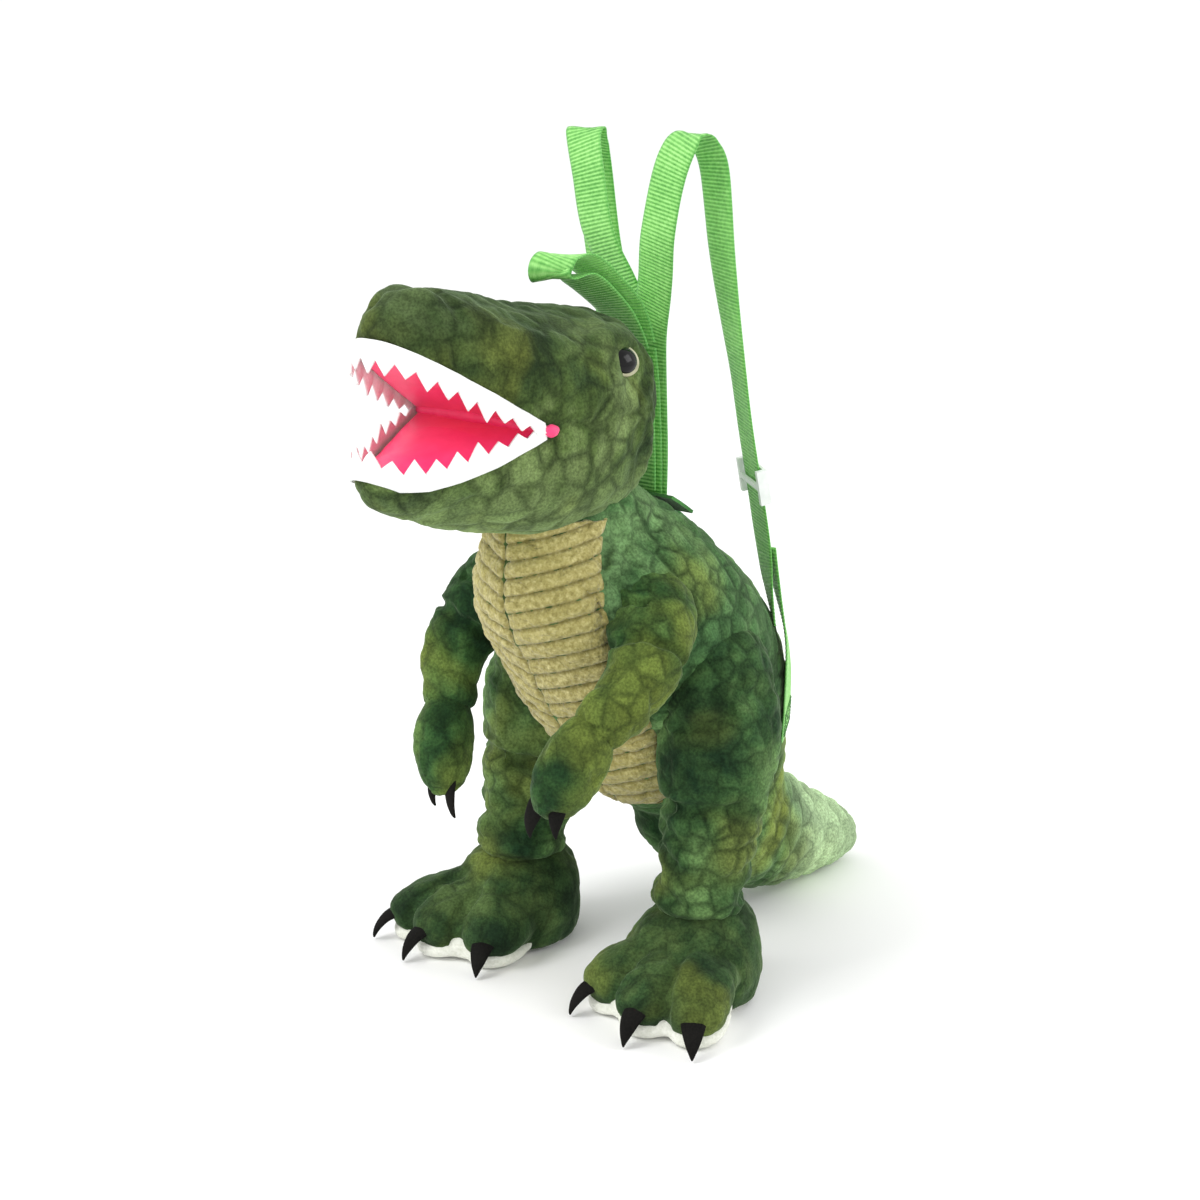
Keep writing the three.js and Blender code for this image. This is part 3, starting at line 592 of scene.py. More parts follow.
MATS["belly"] = belly_material()
MATS["felt"] = cloth_material("felt_white", srgb("#f8f9f7"), srgb("#e3e7e4"), 700)
MATS["satin"] = cloth_material("satin_pink", srgb("#ff4680"), srgb("#f2306f"), 60, 0.5, 0.1, 0.15,
                               specular=0.5)
MATS["claw"] = cloth_material("felt_black", srgb("#1b1a18"), srgb("#0d0d0c"), 800, sheen=0.0, specular=0.1)
MATS["sole"] = cloth_material("sole_plush", srgb("#f3f4ea"), srgb("#d5d8c8"), 500, bump=0.7,
                              distance=0.001)


WEBBING = dict(width=25.0, thick=1.6, rib=2.3)      # millimetres


def webbing_material():
    """Ribbed nylon webbing: ribs across, fine yarns along, slightly darker edges."""
    material, t, shader = new_material("webbing_green", 0.55, 0.15, 0.4, specular=0.45)
    rest = t.rest()
    parts = t.node("ShaderNodeSeparateXYZ", {0: rest})
    ribs = t.math("SINE", t.math("MULTIPLY", parts.outputs[1], 2 * math.pi / (WEBBING["rib"] * MM)))
    yarns = t.math("SINE", t.math("MULTIPLY", parts.outputs[0], 2 * math.pi / 0.0012))
    fuzz = t.noise(rest, 420.0, 3.0).outputs[0]
    slow = t.noise(rest, 22.0, 2.0).outputs[0]
    tone = t.math("ADD", t.math("MULTIPLY", ribs, 0.16), t.math("MULTIPLY", fuzz, 0.5))
    tone = t.math("ADD", tone, t.math("MULTIPLY", slow, 0.35))
    base = t.ramp(tone, [(0.2, srgb("#529f40")), (0.42, srgb("#7cc660")), (0.66, srgb("#a2e383"))])
    edge = t.smooth(t.math("ABSOLUTE", parts.outputs[0]), 0.0104, 0.0123, 0.0, 0.45)
    base = t.mix(edge, base, (*srgb("#4faa45"), 1))
    height = t.math("ADD", t.math("MULTIPLY", ribs, 0.4), t.math("MULTIPLY", yarns, 0.35))
    height = t.math("ADD", height, t.math("MULTIPLY", fuzz, 0.4))
    t.finish(shader, base, height, 0.55, 0.0004)
    return material


def hard_material(name, light, dark, roughness, coat=0.0, specular=0.5, scale=90.0, bump=0.06):
    """Moulded plastic, enamel or lacquer with slow tone change, faint scuffs and grain."""
    material, t, shader = new_material(name, roughness, coat=coat, specular=specular)
    coord = t.node("ShaderNodeTexCoord").outputs["Object"]
    slow = t.noise(coord, scale, 3.0).outputs[0]
    grain = t.noise(coord, scale * 12, 3.0, 0.6).outputs[0]
    rough = t.smooth(grain, 0.3, 0.7, max(roughness - 0.06, 0.02), roughness + 0.1)
    t.tree.links.new(rough, shader.inputs["Roughness"])
    t.finish(shader, t.ramp(slow, [(0.3, dark), (0.7, light)]), grain, bump, 0.0003)
    return material


MATS["webbing"] = webbing_material()
MATS["eye"] = hard_material("eye_gloss", srgb("#0b0a0a"), srgb("#040404"), 0.12, specular=0.25)
MATS["eye_rim"] = hard_material("eye_rim_cream", srgb("#c9c6a8"), srgb("#9b9a78"), 0.5)
MATS["enamel"] = hard_material("zip_enamel", srgb("#3f8d3c"), srgb("#2c6e2c"), 0.3, coat=0.5)
MATS["zip_teeth"] = hard_material("zip_nylon", srgb("#3c8a40"), srgb("#2a6a30"), 0.4)
MATS["plastic"] = hard_material("adjuster_plastic", srgb("#eef2ee"), srgb("#d6ded8"), 0.35)
MATS["zip_tape"] = cloth_material("zip_tape_green", srgb("#3c8a3c"), srgb("#245c28"), 900.0, 0.8,
                                  rest=False)
MATS["thread"] = cloth_material("thread_green", srgb("#4c8f3c"), srgb("#2f6a2c"), 900.0, 0.7)
MATS["patch"] = cloth_material("patch_green", srgb("#4f8f45"), srgb("#2f6a30"), 700.0, 0.9, rest=False)


# ------------------------------------------------------------------ body and tail
ZIP = dict(y=-72, z=92, r=236, low=14.2, high=54.6)


def back_at(z):
    return ZIP["y"] + math.sqrt(ZIP["r"] ** 2 - (z - ZIP["z"]) ** 2)


# z, front y, half width; the back follows the zip's arc.
TORSO = [(322, -58, 30), (306, -70, 40), (296, -72, 43), (284, -73, 50), (268, -73, 63), (252, -73, 71),
         (233, -66, 77), (214, -54, 79), (186, -38, 76), (157, -18, 67), (138, -6, 60), (118, 14, 55),
         (104, 32, 50), (94, 50, 40), (88, 66, 26), (85, 80, 10)]
TAIL = [(0, 84, 122, 26, 30), (0, 100, 104, 44, 48), (0, 116, 84, 47, 49), (0, 138, 64, 43, 44),
        (0, 168, 49, 37, 39), (0, 203, 37, 30, 33), (0, 235, 28, 24, 25.5), (0, 256, 22, 17, 18),
        (0, 267, 20, 10, 11), (0, 270.5, 19.5, 3, 3)]
PANEL_Z = [104, 118, 138, 160, 186, 214, 240, 262, 280, 300]
PANEL_HALF = [20, 34, 40, 44, 46, 49, 47, 46, 42, 38]


def torso_rows():
    rows = []
    for z, front, half in TORSO:
        back = back_at(z) if z > 100 else back_at(z) - (100 - z) ** 1.4
        if z > 300:
            back = back_at(300) - (z - 300) * 1.1
        rows.append((0, (front + back) / 2, z, half, (back - front) / 2))
    return rows


def belly_edge(y, z):
    """The belly panel's half width at each point, and whether the point is on the front."""
    front = y < np.interp(z, [100, 160, 210, 260, 300], [60, 50, 20, -10, -20])
    return np.interp(z, PANEL_Z, PANEL_HALF), front


def body_seams(p):
    x, y, z = p.T
    edge, front = belly_edge(y, z)
    panel = near(np.abs(x) - edge, 2.5) * front * (z > 100) * (z < 300)
    reach = np.hypot(y - ZIP["y"], z - ZIP["z"])
    zip_line = near(np.abs(x) - 9, 4) * (reach > ZIP["r"] - 20) * (z > 145) * (z < 292)
    return np.maximum.reduce([panel, zip_line, (z > 300) * 1.0])


def body_folds(p):
    """Creases where the shoulder hangs from the neck, and bunching round the tail."""
    x, y, z = p.T
    side = np.abs(x)
    drape = np.exp(-((side - 52) / 12) ** 2 - ((z - 258) / 30) ** 2) * (y < 10)
    folds = -4.6 * drape * near(np.mod(y + 0.35 * z + 6 * soft_noise(p, 30), 17) - 8.5, 3)
    along = (y - 95) * 0.85 - (z - 100) * 0.53
    tail = np.clip((along - 35) / 30, 0, 1) * np.clip((190 - along) / 30, 0, 1)
    diagonal = along + 0.45 * side + 14 * soft_noise(p, 34)
    folds += tail * 1.5 * (np.abs(np.sin(diagonal * np.pi / 19)) - 0.65)
    lumps = 2.4 * (soft_noise(p, 38) - 0.5)
    reach = np.hypot(y - ZIP["y"], z - ZIP["z"])
    channel = np.clip((13.5 - side) / 3, 0, 1) * (reach > ZIP["r"] - 14) * (z > 148) * (z < 288)
    edge, front = belly_edge(y, z)
    gutter = -2.8 * near(side - edge - 4.5, 2.6) * front * (z > 104) * (z < 302)
    return folds + lumps * (1 - channel) - 1.6 * channel + gutter


def build_body():
    torso = loft("torso", torso_rows(), sides=64, facing=(0, 0, -1))
    tail = loft("tail", TAIL, sides=40)
    skin = sew(join("body_skin", [torso, tail]), 0.0045, 8, body_seams, body_folds, 0.004)
    emboss(skin, SCALE["body"], 0.0011)
    dress(skin, "body", "plush", None, "torso_skin", "torso_padding", "tail_skin", "tail_fill",
          "pocket_lining")
    return skin


body = build_body()
body_tree = BVHTree.FromObject(body, bpy.context.evaluated_depsgraph_get())
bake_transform(body)


# ------------------------------------------------------------------ belly panel
CHANNEL = 10.4            # height of one quilted row, millimetres
CHEVRON = 0.33            # how steeply the rows rise from the centre seam


def build_belly():
    across, up = 110, 300
    verts, hollow_shade = [], []
    for j in range(up + 1):
        z = 102 + (300 - 102) * j / up
        half = np.interp(z, PANEL_Z, PANEL_HALF) + 1.5
        if z < 104:
            half = 20 * math.sqrt(max((z - 101.5) / 2.5, 0.05))
        depth = np.interp(z, [100, 160, 210, 260, 300], [95, 62, 40, 10, -12])
        wide = np.interp(z, [100, 118, 157, 214, 252, 270, 300], [50, 55, 67, 80, 72, 63, 42])
        swing = math.asin(min(half / wide, 0.95))
        for i in range(across + 1):
            s = 2 * i / across - 1
            angle = s * swing
            out = Vector((math.sin(angle), -math.cos(angle), 0))
            centre = at(0, depth, z)
            hit, normal, _, _ = body_tree.ray_cast(centre + out * 0.3, -out)
            if hit is None:
                hit, normal = centre + out * wide * MM, out
            row = (z - CHEVRON * wide * abs(angle) + 400) / CHANNEL
            f = row - math.floor(row)
            valley = max(0.0, 1 - min(f, 1 - f) * CHANNEL / 1.7)
            middle = max(0.0, 1 - abs(angle) * wide / 1.6)
            border = min(1, (1 - abs(s)) * half / 2.6, (z - 101.6) / 3)
            swell = 1 - (2 * abs(f - 0.5)) ** 3
            rise = (0.9 + 2.0 * swell) * (1 - 0.75 * middle) * max(border, 0) - 1.0
            point = np.array([[hit.x, hit.y, hit.z]]) / MM
            rise += 0.9 * (soft_noise(point, 3.2)[0] - 0.5) * border
            rise += 0.5 * (soft_noise(point, 1.7)[0] - 0.5) * border
            verts.append(hit + normal * rise * MM)
            # Painted shade: marks the stitched valleys, the centre seam and the border for the fleece to
            # darken.
            hollow_shade.append(max(valley, middle * 0.8, 0.6 * (border < 0.5)))
    panel = add_mesh("belly_panel_fleece", verts, grid(up + 1, across + 1))
    marks = panel.data.attributes.new("hollow_shade", "FLOAT", "POINT")
    marks.data.foreach_set("value", hollow_shade)
    thicken(panel, 0.0022, -1)
    shade_smooth(panel)
    dress(panel, "belly", "belly", "torso", "belly_panel")


build_belly()

# ------------------------------------------------------------------ head and jaw
POWER = 2.3
# y, top z, bottom z, half width, from the back of the head to the snout.
HEAD = [(27, 368, 350, 5), (24.5, 382, 336, 21), (19, 396, 322, 33), (8, 409, 306, 44.5),
        (-8, 417, 297, 51), (-30, 421, 292, 54.5), (-55, 425, 291, 55), (-80, 429, 295, 52.5),
        (-105, 435, 302, 48), (-130, 440, 309, 42), (-150, 440, 315, 35.5), (-161, 434, 318, 30),
        (-169, 424, 321, 24), (-176, 406, 325, 17), (-180.5, 385, 337, 6)]


def head_rows():
    return [(0, y, (top + low) / 2, half, (top - low) / 2) for y, top, low, half in HEAD]


HEAD_FINE = spline(head_rows(), 8)


def head_reach(y, z):
    """Half width of the closed head at this place, or 0 outside it."""
    ys = -HEAD_FINE[:, 1]
    centre, half, tall = (np.interp(-y, ys, HEAD_FINE[:, k]) for k in (2, 3, 4))
    left = 1 - abs((z - centre) / tall) ** POWER
    return half * left ** (1 / POWER) if left > 0 and -y < ys[-1] else 0.0


def upper_lip(y):
    return 362 + 0.61 * (-90 - y)


def lower_lip(y):
    return np.interp(-y, [86, 90, 122, 142, 158, 172, 190], [362, 361, 348, 341.5, 338, 338.5, 348])


def palate(x, y):
    half = max(head_reach(y, upper_lip(y)), 8)
    vault = np.interp(-y, [88, 115, 150, 175], [0, 7, 7, 3])
    return upper_lip(y) + vault * max(0.0, 1 - (x / half) ** 2)


def tongue(x, y):
    half = max(head_reach(y, lower_lip(y)), 8)
    swell = np.interp(-y, [90, 115, 150, 178], [1, 7, 8, 2])
    return lower_lip(y) + swell * max(0.0, 1 - (x / half) ** 2)


def mouth_volume():
    """The space between palate and tongue, wide enough to open both cheeks."""
    ys = np.concatenate([[-86.5, -92, -98], np.arange(-105, -206, -6)])
    xs = np.linspace(-80, 80, 33)
    columns = len(xs)
    verts = []
    for roof in (True, False):
        for y in ys:
            for x in xs:
                z = max(palate(x, y), tongue(x, y) + 0.3) if roof else tongue(x, y)
                verts.append(at(x, y, z))
    faces = []
    lower = len(ys) * columns
    for j in range(len(ys) - 1):
        for i in range(columns - 1):
            a = j * columns + i
            faces.append((a, a + 1, a + columns + 1, a + columns))
            b = lower + a
            faces.append((b, b + columns, b + columns + 1, b + 1))
    for j in range(len(ys) - 1):
        for i in (0, columns - 1):
            a, c = j * columns + i, (j + 1) * columns + i
            face = (a, c, lower + c, lower + a)
            faces.append(face if i == 0 else face[::-1])
    for j in (0, len(ys) - 1):
        for i in range(columns - 1):
            a = j * columns + i
            face = (a, lower + a, lower + a + 1, a + 1)
            faces.append(face if j == 0 else face[::-1])
    mouth = add_mesh("mouth", verts, faces)
    mouth.data.flip_normals()
    return mouth


def head_seams(p):
    x, y, z = p.T
    up, low = upper_lip(y), lower_lip(y)
    lips = np.maximum(near(z - up, 4), near(z - low, 4)) * (y < -88)
    inside = (z < up - 1) * (z > low + 1) * (y < -90)
    cheek = near(z - 362 + (y + 90) * 0.02, 2.2) * (y > -90) * (y < 0)
    crown = near(x, 2.0) * (z > 390) * (y > -140)
    return np.maximum.reduce([lips, inside * 1.0, cheek * 0.9, crown * 0.7, (z < 300) * 0.6])


def head_folds(p):
    x, y, z = p.T
    side = np.abs(x)
    nostril = -3.4 * np.exp(-((side - 13) / 5) ** 2 - ((y + 158) / 5) ** 2) * (z > 420)
    ridge = 2.6 * np.exp(-((side - 15) / 8) ** 2 - ((y + 146) / 9) ** 2) * (z > 420)
    bridge = -1.8 * near(y + 132 + 3 * soft_noise(p, 20), 3.2) * (z > 425) * (side < 30)
    brow = 3.0 * np.exp(-((side - 40) / 10) ** 2 - ((y + 26) / 22) ** 2 - ((z - 406) / 8) ** 2)
    socket = -2.6 * np.exp(-((y + 20) / 11) ** 2 - ((z - 392) / 10) ** 2) * (side > 30)
    lumps = 2.6 * (soft_noise(p, 33) - 0.5)
    cheek = -1.4 * near(z - 362, 1.5) * (y > -88) * (y < 0)
    skull = (y > -186) * (z > 300)
    return (nostril + ridge + bridge + brow + socket + cheek) * skull + lumps


def build_head():
    skin = loft("head_and_jaw_skin", head_rows(), sides=64, steps=4, power=POWER, facing=(0, -1, 0))
    cut_away(skin, mouth_volume())
    sew(skin, 0.0032, 4, head_seams, head_folds)
    emboss(skin, SCALE["head"], 0.0009)
    dress(skin, "head", "head_plush", None, "head_skin", "head_fill", "jaw_skin", "jaw_fill")
    return skin


head = build_head()
head_tree = BVHTree.FromObject(head, bpy.context.evaluated_depsgraph_get())
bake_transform(head)


# ------------------------------------------------------------------ mouth linings and teeth
def lip_line(lip, inset, count):
    """Evenly spaced points round the lip from the left corner to the right, and the way inward."""
    rough = []
    for degrees in np.linspace(33, -213, 400):
        c, s = math.cos(math.radians(degrees)), math.sin(math.radians(degrees))
        low, high = 5.0, 110.0
        for _ in range(26):
            r = (low + high) / 2
            x, y = r * c, -118 + r * s
            inside = y < -90 and head_reach(y, lip(y)) > abs(x)
            inside = inside or (y >= -90 and abs(x) < 52)
            low, high = (r, high) if inside else (low, r)
        rough.append((low * c, -118 + low * s))
    rough = np.array([q for q in rough if q[1] < -91.5])
    span = np.concatenate([[0], np.cumsum(np.linalg.norm(np.diff(rough, axis=0), axis=1))])
    even = np.linspace(0, span[-1], count)
    line = np.stack([np.interp(even, span, rough[:, k]) for k in (0, 1)], axis=1)
    step = np.gradient(line, axis=0)
    inward = np.stack([step[:, 1], -step[:, 0]], axis=1)
    inward /= np.linalg.norm(inward, axis=1, keepdims=True)
    if inward[count // 2][1] < 0:
        inward = -inward
    return line + inward * inset, inward


def lining(name, surface, lip, lift, node, body_name):
    line, _ = lip_line(lip, 3.4, 161)
    middle = np.array([0.0, -112.0])
    rings = 26
    verts = []
    for r in range(rings + 1):
        t = r / rings
        for q in line:
            x, y = middle + (q - middle) * (1 - t)
            verts.append(at(x, y, surface(x, y) + lift))
    count = len(line)
    closing = [(r * count + count - 1, r * count, (r + 1) * count, (r + 1) * count + count - 1)
               for r in range(rings)]
    sheet = add_mesh(name, verts, grid(rings + 1, count) + closing)
    weld = sheet.modifiers.new("weld", "WELD")
    weld.merge_threshold = 0.0002
    thicken(sheet, 0.0008)
    push(sheet, lambda p: 0.8 * (soft_noise(p, 17) - 0.5))
    shade_smooth(sheet)
    dress(sheet, "satin", "satin", body_name, node)


def tooth_strip(name, lip, down, count, node):
    """A felt band round one lip, cut in a saw-tooth edge, smaller towards the corners."""
    per = 12
    columns = count * per + 1
    line, inward = lip_line(lip, -0.3 if down else -1.4, columns)
    rows = 9
    sign = -1 if down else 1
    verts = []
    for i in range(columns):
        x, y = line[i]
        reach = math.hypot(abs(x) - 52, y + 90) if y > -150 else 60
        grow = min(1, 0.32 + reach / 60)
        phase = (i % per) / per
        tooth = 1 - abs(2 * phase - 1)
        wobble = 1 + 0.14 * math.sin(i // per * 2.4) + 0.06 * math.sin(i // per * 5.1)
        tall = (6.4 + 7.8 * wobble * tooth) * grow
        for j in range(rows):
            v = j / (rows - 1)
            z = lip(y) - sign * 3.0 + sign * (tall + 3.0) * v
            lean = (1.2 - 2.4 * v) if down else (0.6 + 0.4 * math.sin(v * 2))
            px, py = line[i] + inward[i] * lean
            verts.append(at(px, py, z))
    strip = add_mesh(name, verts, grid(columns, rows))
    thicken(strip, 0.0015)
    push(strip, lambda p: 0.5 * (soft_noise(p, 9) - 0.5))
    shade_smooth(strip)
    dress(strip, "felt", "felt", "head" if down else "jaw", node)


def build_mouth_fold():
    """The lining's soft fold across the back of the mouth, from one corner to the other."""
    rows = [(-51, -90, 362, 1.5, 1.5), (-44, -92.5, 362.5, 3.6, 3.6), (-25, -94, 363.5, 4.6, 4.6),
            (0, -94.5, 364, 5, 5), (25, -94, 363.5, 4.6, 4.6), (44, -92.5, 362.5, 3.6, 3.6),
            (51, -90, 362, 1.5, 1.5)]
    fold = loft("mouth_fold_satin", rows, sides=20, steps=8, axis=(0, 0, 1))
    push(fold, lambda p: 1.6 * (soft_noise(p, 11) - 0.5))
    dress(fold, "satin", "satin", "head")
    for side_name, side in SIDES:
        knot = lathe("mouth_corner_" + side_name, at(52.5 * side, -88.5, 361.5), Vector((side, 0, 0)),
                     Vector((0, 1, 0)), dome(3.6, 3.0, 1.5), 1.3, 24)
        push(knot, lambda p: 1.2 * (soft_noise(p, 3) - 0.5))
        dress(knot, "satin", "satin", "head")


build_mouth_fold()
lining("palate_satin", palate, upper_lip, -1.8, "mouth_lining_upper", "head")
lining("tongue_satin", tongue, lower_lip, 1.6, "mouth_lining_lower", "jaw")
tooth_strip("upper_teeth_felt", upper_lip, True, 19, "upper_teeth")
tooth_strip("lower_teeth_felt", lower_lip, False, 18, "lower_teeth")

# ------------------------------------------------------------------ eyes
def build_eye(side_name, side):
    tilt = math.radians(27)
    out = Vector((math.cos(tilt) * side, -0.12, math.sin(tilt))).normalized()
    start = at(46.4 * side, -23, 392)
    hit, _, _, _ = head_tree.ray_cast(start + out * 0.03, -out)
    place = hit if hit is not None else start
    level = Vector((0, 1, 0))
    rim = lathe("eye_rim_" + side_name, place + level * 0.0011 + out * 0.0002, out, level,
                dome(9.3, 1.4), 1.14)
    dress(rim, "eye_rim", "eye", "head", "eye_washer_" + side_name)
    ball = lathe("eye_ball_" + side_name, place + out * 0.0008, out, level, dome(7.9, 4.6), 1.14)
    dress(ball, "eye", "eye", "head", "eye_" + side_name)


for side_name, side in SIDES:
    build_eye(side_name, side)


# ------------------------------------------------------------------ limb helpers
FAR_ARM_DROP = 20         # the right arm hangs this many degrees lower
SHOULDER = at(50, -12, 243)


def to_side(obj, side, drop=0.0):
    """Turns a left piece into the right one; drop lowers an arm about its shoulder, in degrees."""
    if side > 0:
        return obj
    shoulder = Matrix.Translation(SHOULDER)
    turn = shoulder @ Matrix.Rotation(math.radians(drop), 4, "X") @ shoulder.inverted()
    obj.data.transform(Matrix.Diagonal((-1, 1, 1, 1)) @ turn)
    obj.data.flip_normals()
    return obj


def both_sides(pattern, finish, drop=0.0):
    for side_name, side in SIDES:
        mesh = pattern.data.copy()
        mesh.name = pattern.name + "_" + side_name
        piece = add_object(mesh.name, mesh)
        finish(to_side(piece, side, drop), side_name, side)
    bpy.data.objects.remove(pattern)


def plush_pair(pattern, label, kind, height, limb, slot="plush", drop=0.0):
    """The left and right copies of a stuffed limb piece, with the scales' relief of this height."""
    def finish(piece, name, side):
        emboss(piece, SCALE[kind], height)
        dress(piece, kind, slot, limb + "_" + name, label + "_skin_" + name, label + "_fill_" + name)

    both_sides(pattern, finish, drop)


def claw_pair(label, rows, axis, limb, drop=0.0):
    """A left and a right felt claw, flat and slightly curved."""
    pattern = loft(label + "_felt", rows, sides=20, steps=6, power=1.7, axis=axis)
    store_rest(pattern)
    both_sides(pattern, lambda piece, name, side: dress(
        piece, "claw", "claw", limb + "_" + name, label + "_" + name), drop)


# ------------------------------------------------------------------ arms and hands
# x, y, z, half size up and down, half size across.
ARM = [(26, -2, 250, 21, 21), (36, -6, 247, 26, 27), (55, -12, 242, 27, 28), (70, -26, 232, 24, 24.5),
       (77.5, -44, 217, 20.5, 21), (76, -60, 202, 17.5, 18), (72.5, -70, 193, 16, 16.5),
       (70.5, -76, 188, 14, 14.5)]
HAND = [(73.5, -70, 192, 9, 9), (71, -75.5, 187.5, 15.5, 14), (68.5, -84, 177, 20, 17),
        (65, -94, 163, 19.5, 16.5), (62, -102, 151, 14, 12.5), (61, -106.5, 144.5, 6, 5.5)]


def arm_seams(p):
    x, y, z = p.T
    wrist = near(z - 187 - 0.8 * (y + 78), 4)
    under = near(x - 66 - 0.3 * (y + 40), 2) * (z < 215) * (y > -66)
    return np.maximum.reduce([wrist * (y < -60), under * 0.6, (x < 40) * 1.0])


def arm_folds(p):
    x, y, z = p.T
    along = (x - 50) * 0.35 - y * 0.75 - (z - 243) * 0.6
    elbow = -4.0 * near(along - 44 - 5 * soft_noise(p, 18), 3) * np.clip((z - 190) / 20, 0, 1) * (y < -8)
    pit = -3.6 * near(along - 20 - 7 * soft_noise(p, 22), 3.4) * (x < 74)
    cuff = 1.6 * near(along - 84, 5)
    return elbow + pit + cuff + 2.4 * (soft_noise(p, 24) - 0.5)


def hand_seams(p):
    x, y, z = p.T
    return near(x - 68 + 0.25 * (187 - z) * 0.6, 1.8) * 0.95 * (z < 184)


def hand_folds(p):
    x, y, z = p.T
    seam = near(x - 68 + 0.15 * (187 - z), 1.0) * (z < 184)
    return 2.0 * (soft_noise(p, 20) - 0.5) + 0.9 * seam


def build_arms():
    sleeve = sew(loft("arm_plush", ARM, sides=40, axis=(0, 0, 1)), 0.0032, 5, arm_seams, arm_folds)
    plush_pair(sleeve, "arm", "arm", 0.0007, "arm", drop=FAR_ARM_DROP)
    mitt = sew(loft("hand_plush", HAND, sides=40, axis=(0, 0, 1)), 0.0028, 5, hand_seams, hand_folds)
    plush_pair(mitt, "hand", "arm", 0.0005, "arm", drop=FAR_ARM_DROP)
    for label, dx, y, z in (("inner", -9, -106, 149), ("outer", 9, -104, 152)):
        root = 62 + dx * 0.7
        rows = [(root, y + 9, z + 10, 5, 2.5), (root + dx * 0.1, y + 2, z + 2, 5.8, 2.8),
                (root + dx * 0.25, y - 2.5, z - 7, 4.4, 2.3), (root + dx * 0.3, y - 3.5, z - 14, 2.0, 1.5),
                (root + dx * 0.3, y - 3.0, z - 18, 0.5, 0.6)]
        claw_pair("hand_claw_" + label, rows, (1, 0.4, 0), "arm", FAR_ARM_DROP)


build_arms()

# ------------------------------------------------------------------ legs and feet
LEG = [(60, 48, 226, 6, 8), (64, 46, 218, 20, 25), (67, 44, 206, 27, 34), (70, 40, 187, 31.5, 39),
       (73, 36, 160, 34.5, 40), (74, 30, 135, 33, 35.5), (75, 25, 112, 30.5, 32), (75, 20, 80, 28.5, 29),
       (75, 17, 68, 29, 29.5), (75, 17, 61, 29, 29.5), (75, 17, 54, 24, 24)]
INSTEP = [(75, 19, 62, 20, 20), (75, 18, 58, 27, 27), (75, 13, 46, 35, 38), (75, 8, 32, 40, 45),
          (75, 7, 18, 41, 46), (75, 8, 7, 39.5, 44.5), (75, 9, 2.5, 37, 42)]
ANKLE = Vector((75, 17, 47))
# Degrees outward, reach from the ankle and radius of each toe; the webs lie between them.
TOES = (("outer", 37, 84, 19), ("middle", 11, 79, 20), ("inner", -24, 73, 19))
WEB_ANGLES = (24, -6)


def toe_axes(degrees):
    a = math.radians(degrees)
    return Vector((math.sin(a), -math.cos(a), 0)), Vector((math.cos(a), math.sin(a), 0))


def toe_loft(name, degrees, reach, radius, table, sides=32):
    return loft(name, toe_rows(degrees, reach, radius, table), sides=sides, axis=toe_axes(degrees)[1])


def toe_rows(degrees, reach, radius, table):
    """table rows: share of the reach, height, half width share, half height."""
    along, _ = toe_axes(degrees)
    rows = []
    for share, z, wide, tall in table:
        p = Vector((ANKLE.x, ANKLE.y, 0)) + along * reach * share
        rows.append((p.x, p.y, z, wide * radius, tall))
    return rows


TOE_TOP = ((0.0, 27, 1.2, 21), (0.35, 26, 1.24, 21.5), (0.62, 22.5, 1.22, 19), (0.82, 19, 1.08, 15.5),
           (0.95, 17, 0.8, 12), (1.01, 15.5, 0.4, 7))
TOE_SOLE = ((0.0, 7, 1.1, 7), (0.4, 7, 1.12, 7), (0.7, 7, 1.08, 7), (0.86, 6.5, 0.92, 6.3),
            (0.96, 6, 0.6, 5.6), (1.0, 6, 0.25, 3))
WEB = ((0.2, 8, 1.6, 8), (0.5, 10, 1.7, 10), (0.74, 10, 1.5, 9.8), (0.88, 8, 1.0, 7), (0.93, 7, 0.4, 4))


def leg_seams(p):
    x, y, z = p.T
    front = near(x - 72 - 0.04 * (z - 60), 1.8) * (y < 26) * 0.85
    back = near(x - 76, 1.8) * (y > 26) * 0.85
    return np.maximum.reduce([front * (z < 190), back * (z < 190), near(z - 57, 3.0), (z > 205) * 0.7])


def leg_folds(p):
    x, y, z = p.T
    front = np.clip((30 - y) / 26, 0, 1)
    knee = -4.2 * near(z - 122 - 0.12 * (x - 75) - 5 * soft_noise(p, 26), 3.4) * front
    rings = np.abs(np.sin((z + 0.25 * x + 20 * soft_noise(p, 30)) * np.pi / 19)) - 0.62
    rings *= 3.0 * np.clip((140 - z) / 40, 0, 1) * np.clip((z - 58) / 10, 0, 1)
    hip = -2.6 * near(z - 178 - 0.5 * (y - 10) - 6 * soft_noise(p, 30), 4) * (y < 18)
    return knee + rings + hip + 3.0 * (soft_noise(p, 30) - 0.5)


def foot_seams(p):
    x, y, z = p.T
    middle = near(x - 75 - (y - 17) * -0.19, 1.8) * 0.8 * (z > 26) * (y < 10)
    return np.maximum.reduce([near(z - 5, 3.0), near(z - 59, 3.0), middle])


def foot_folds(p):
    x, y, z = p.T
    angle = np.arctan2(x - 75, 17 - y)
    reach = np.hypot(x - 75, y - 17)
    groove = 0
    for degrees in WEB_ANGLES:
        groove = groove - 2.4 * near((angle - math.radians(degrees)) * reach, 3.4) * np.clip(
            (reach - 30) / 22, 0, 1) * (y < 17)
    return groove + 2.8 * (soft_noise(p, 22) - 0.5)


def keep_above(obj, height):
    """Flattens what hangs under this height, in millimetres, as the toy's weight does."""
    co = points_of(obj)
    co[:, 2] = np.maximum(co[:, 2], height * MM)
    set_points(obj, co)


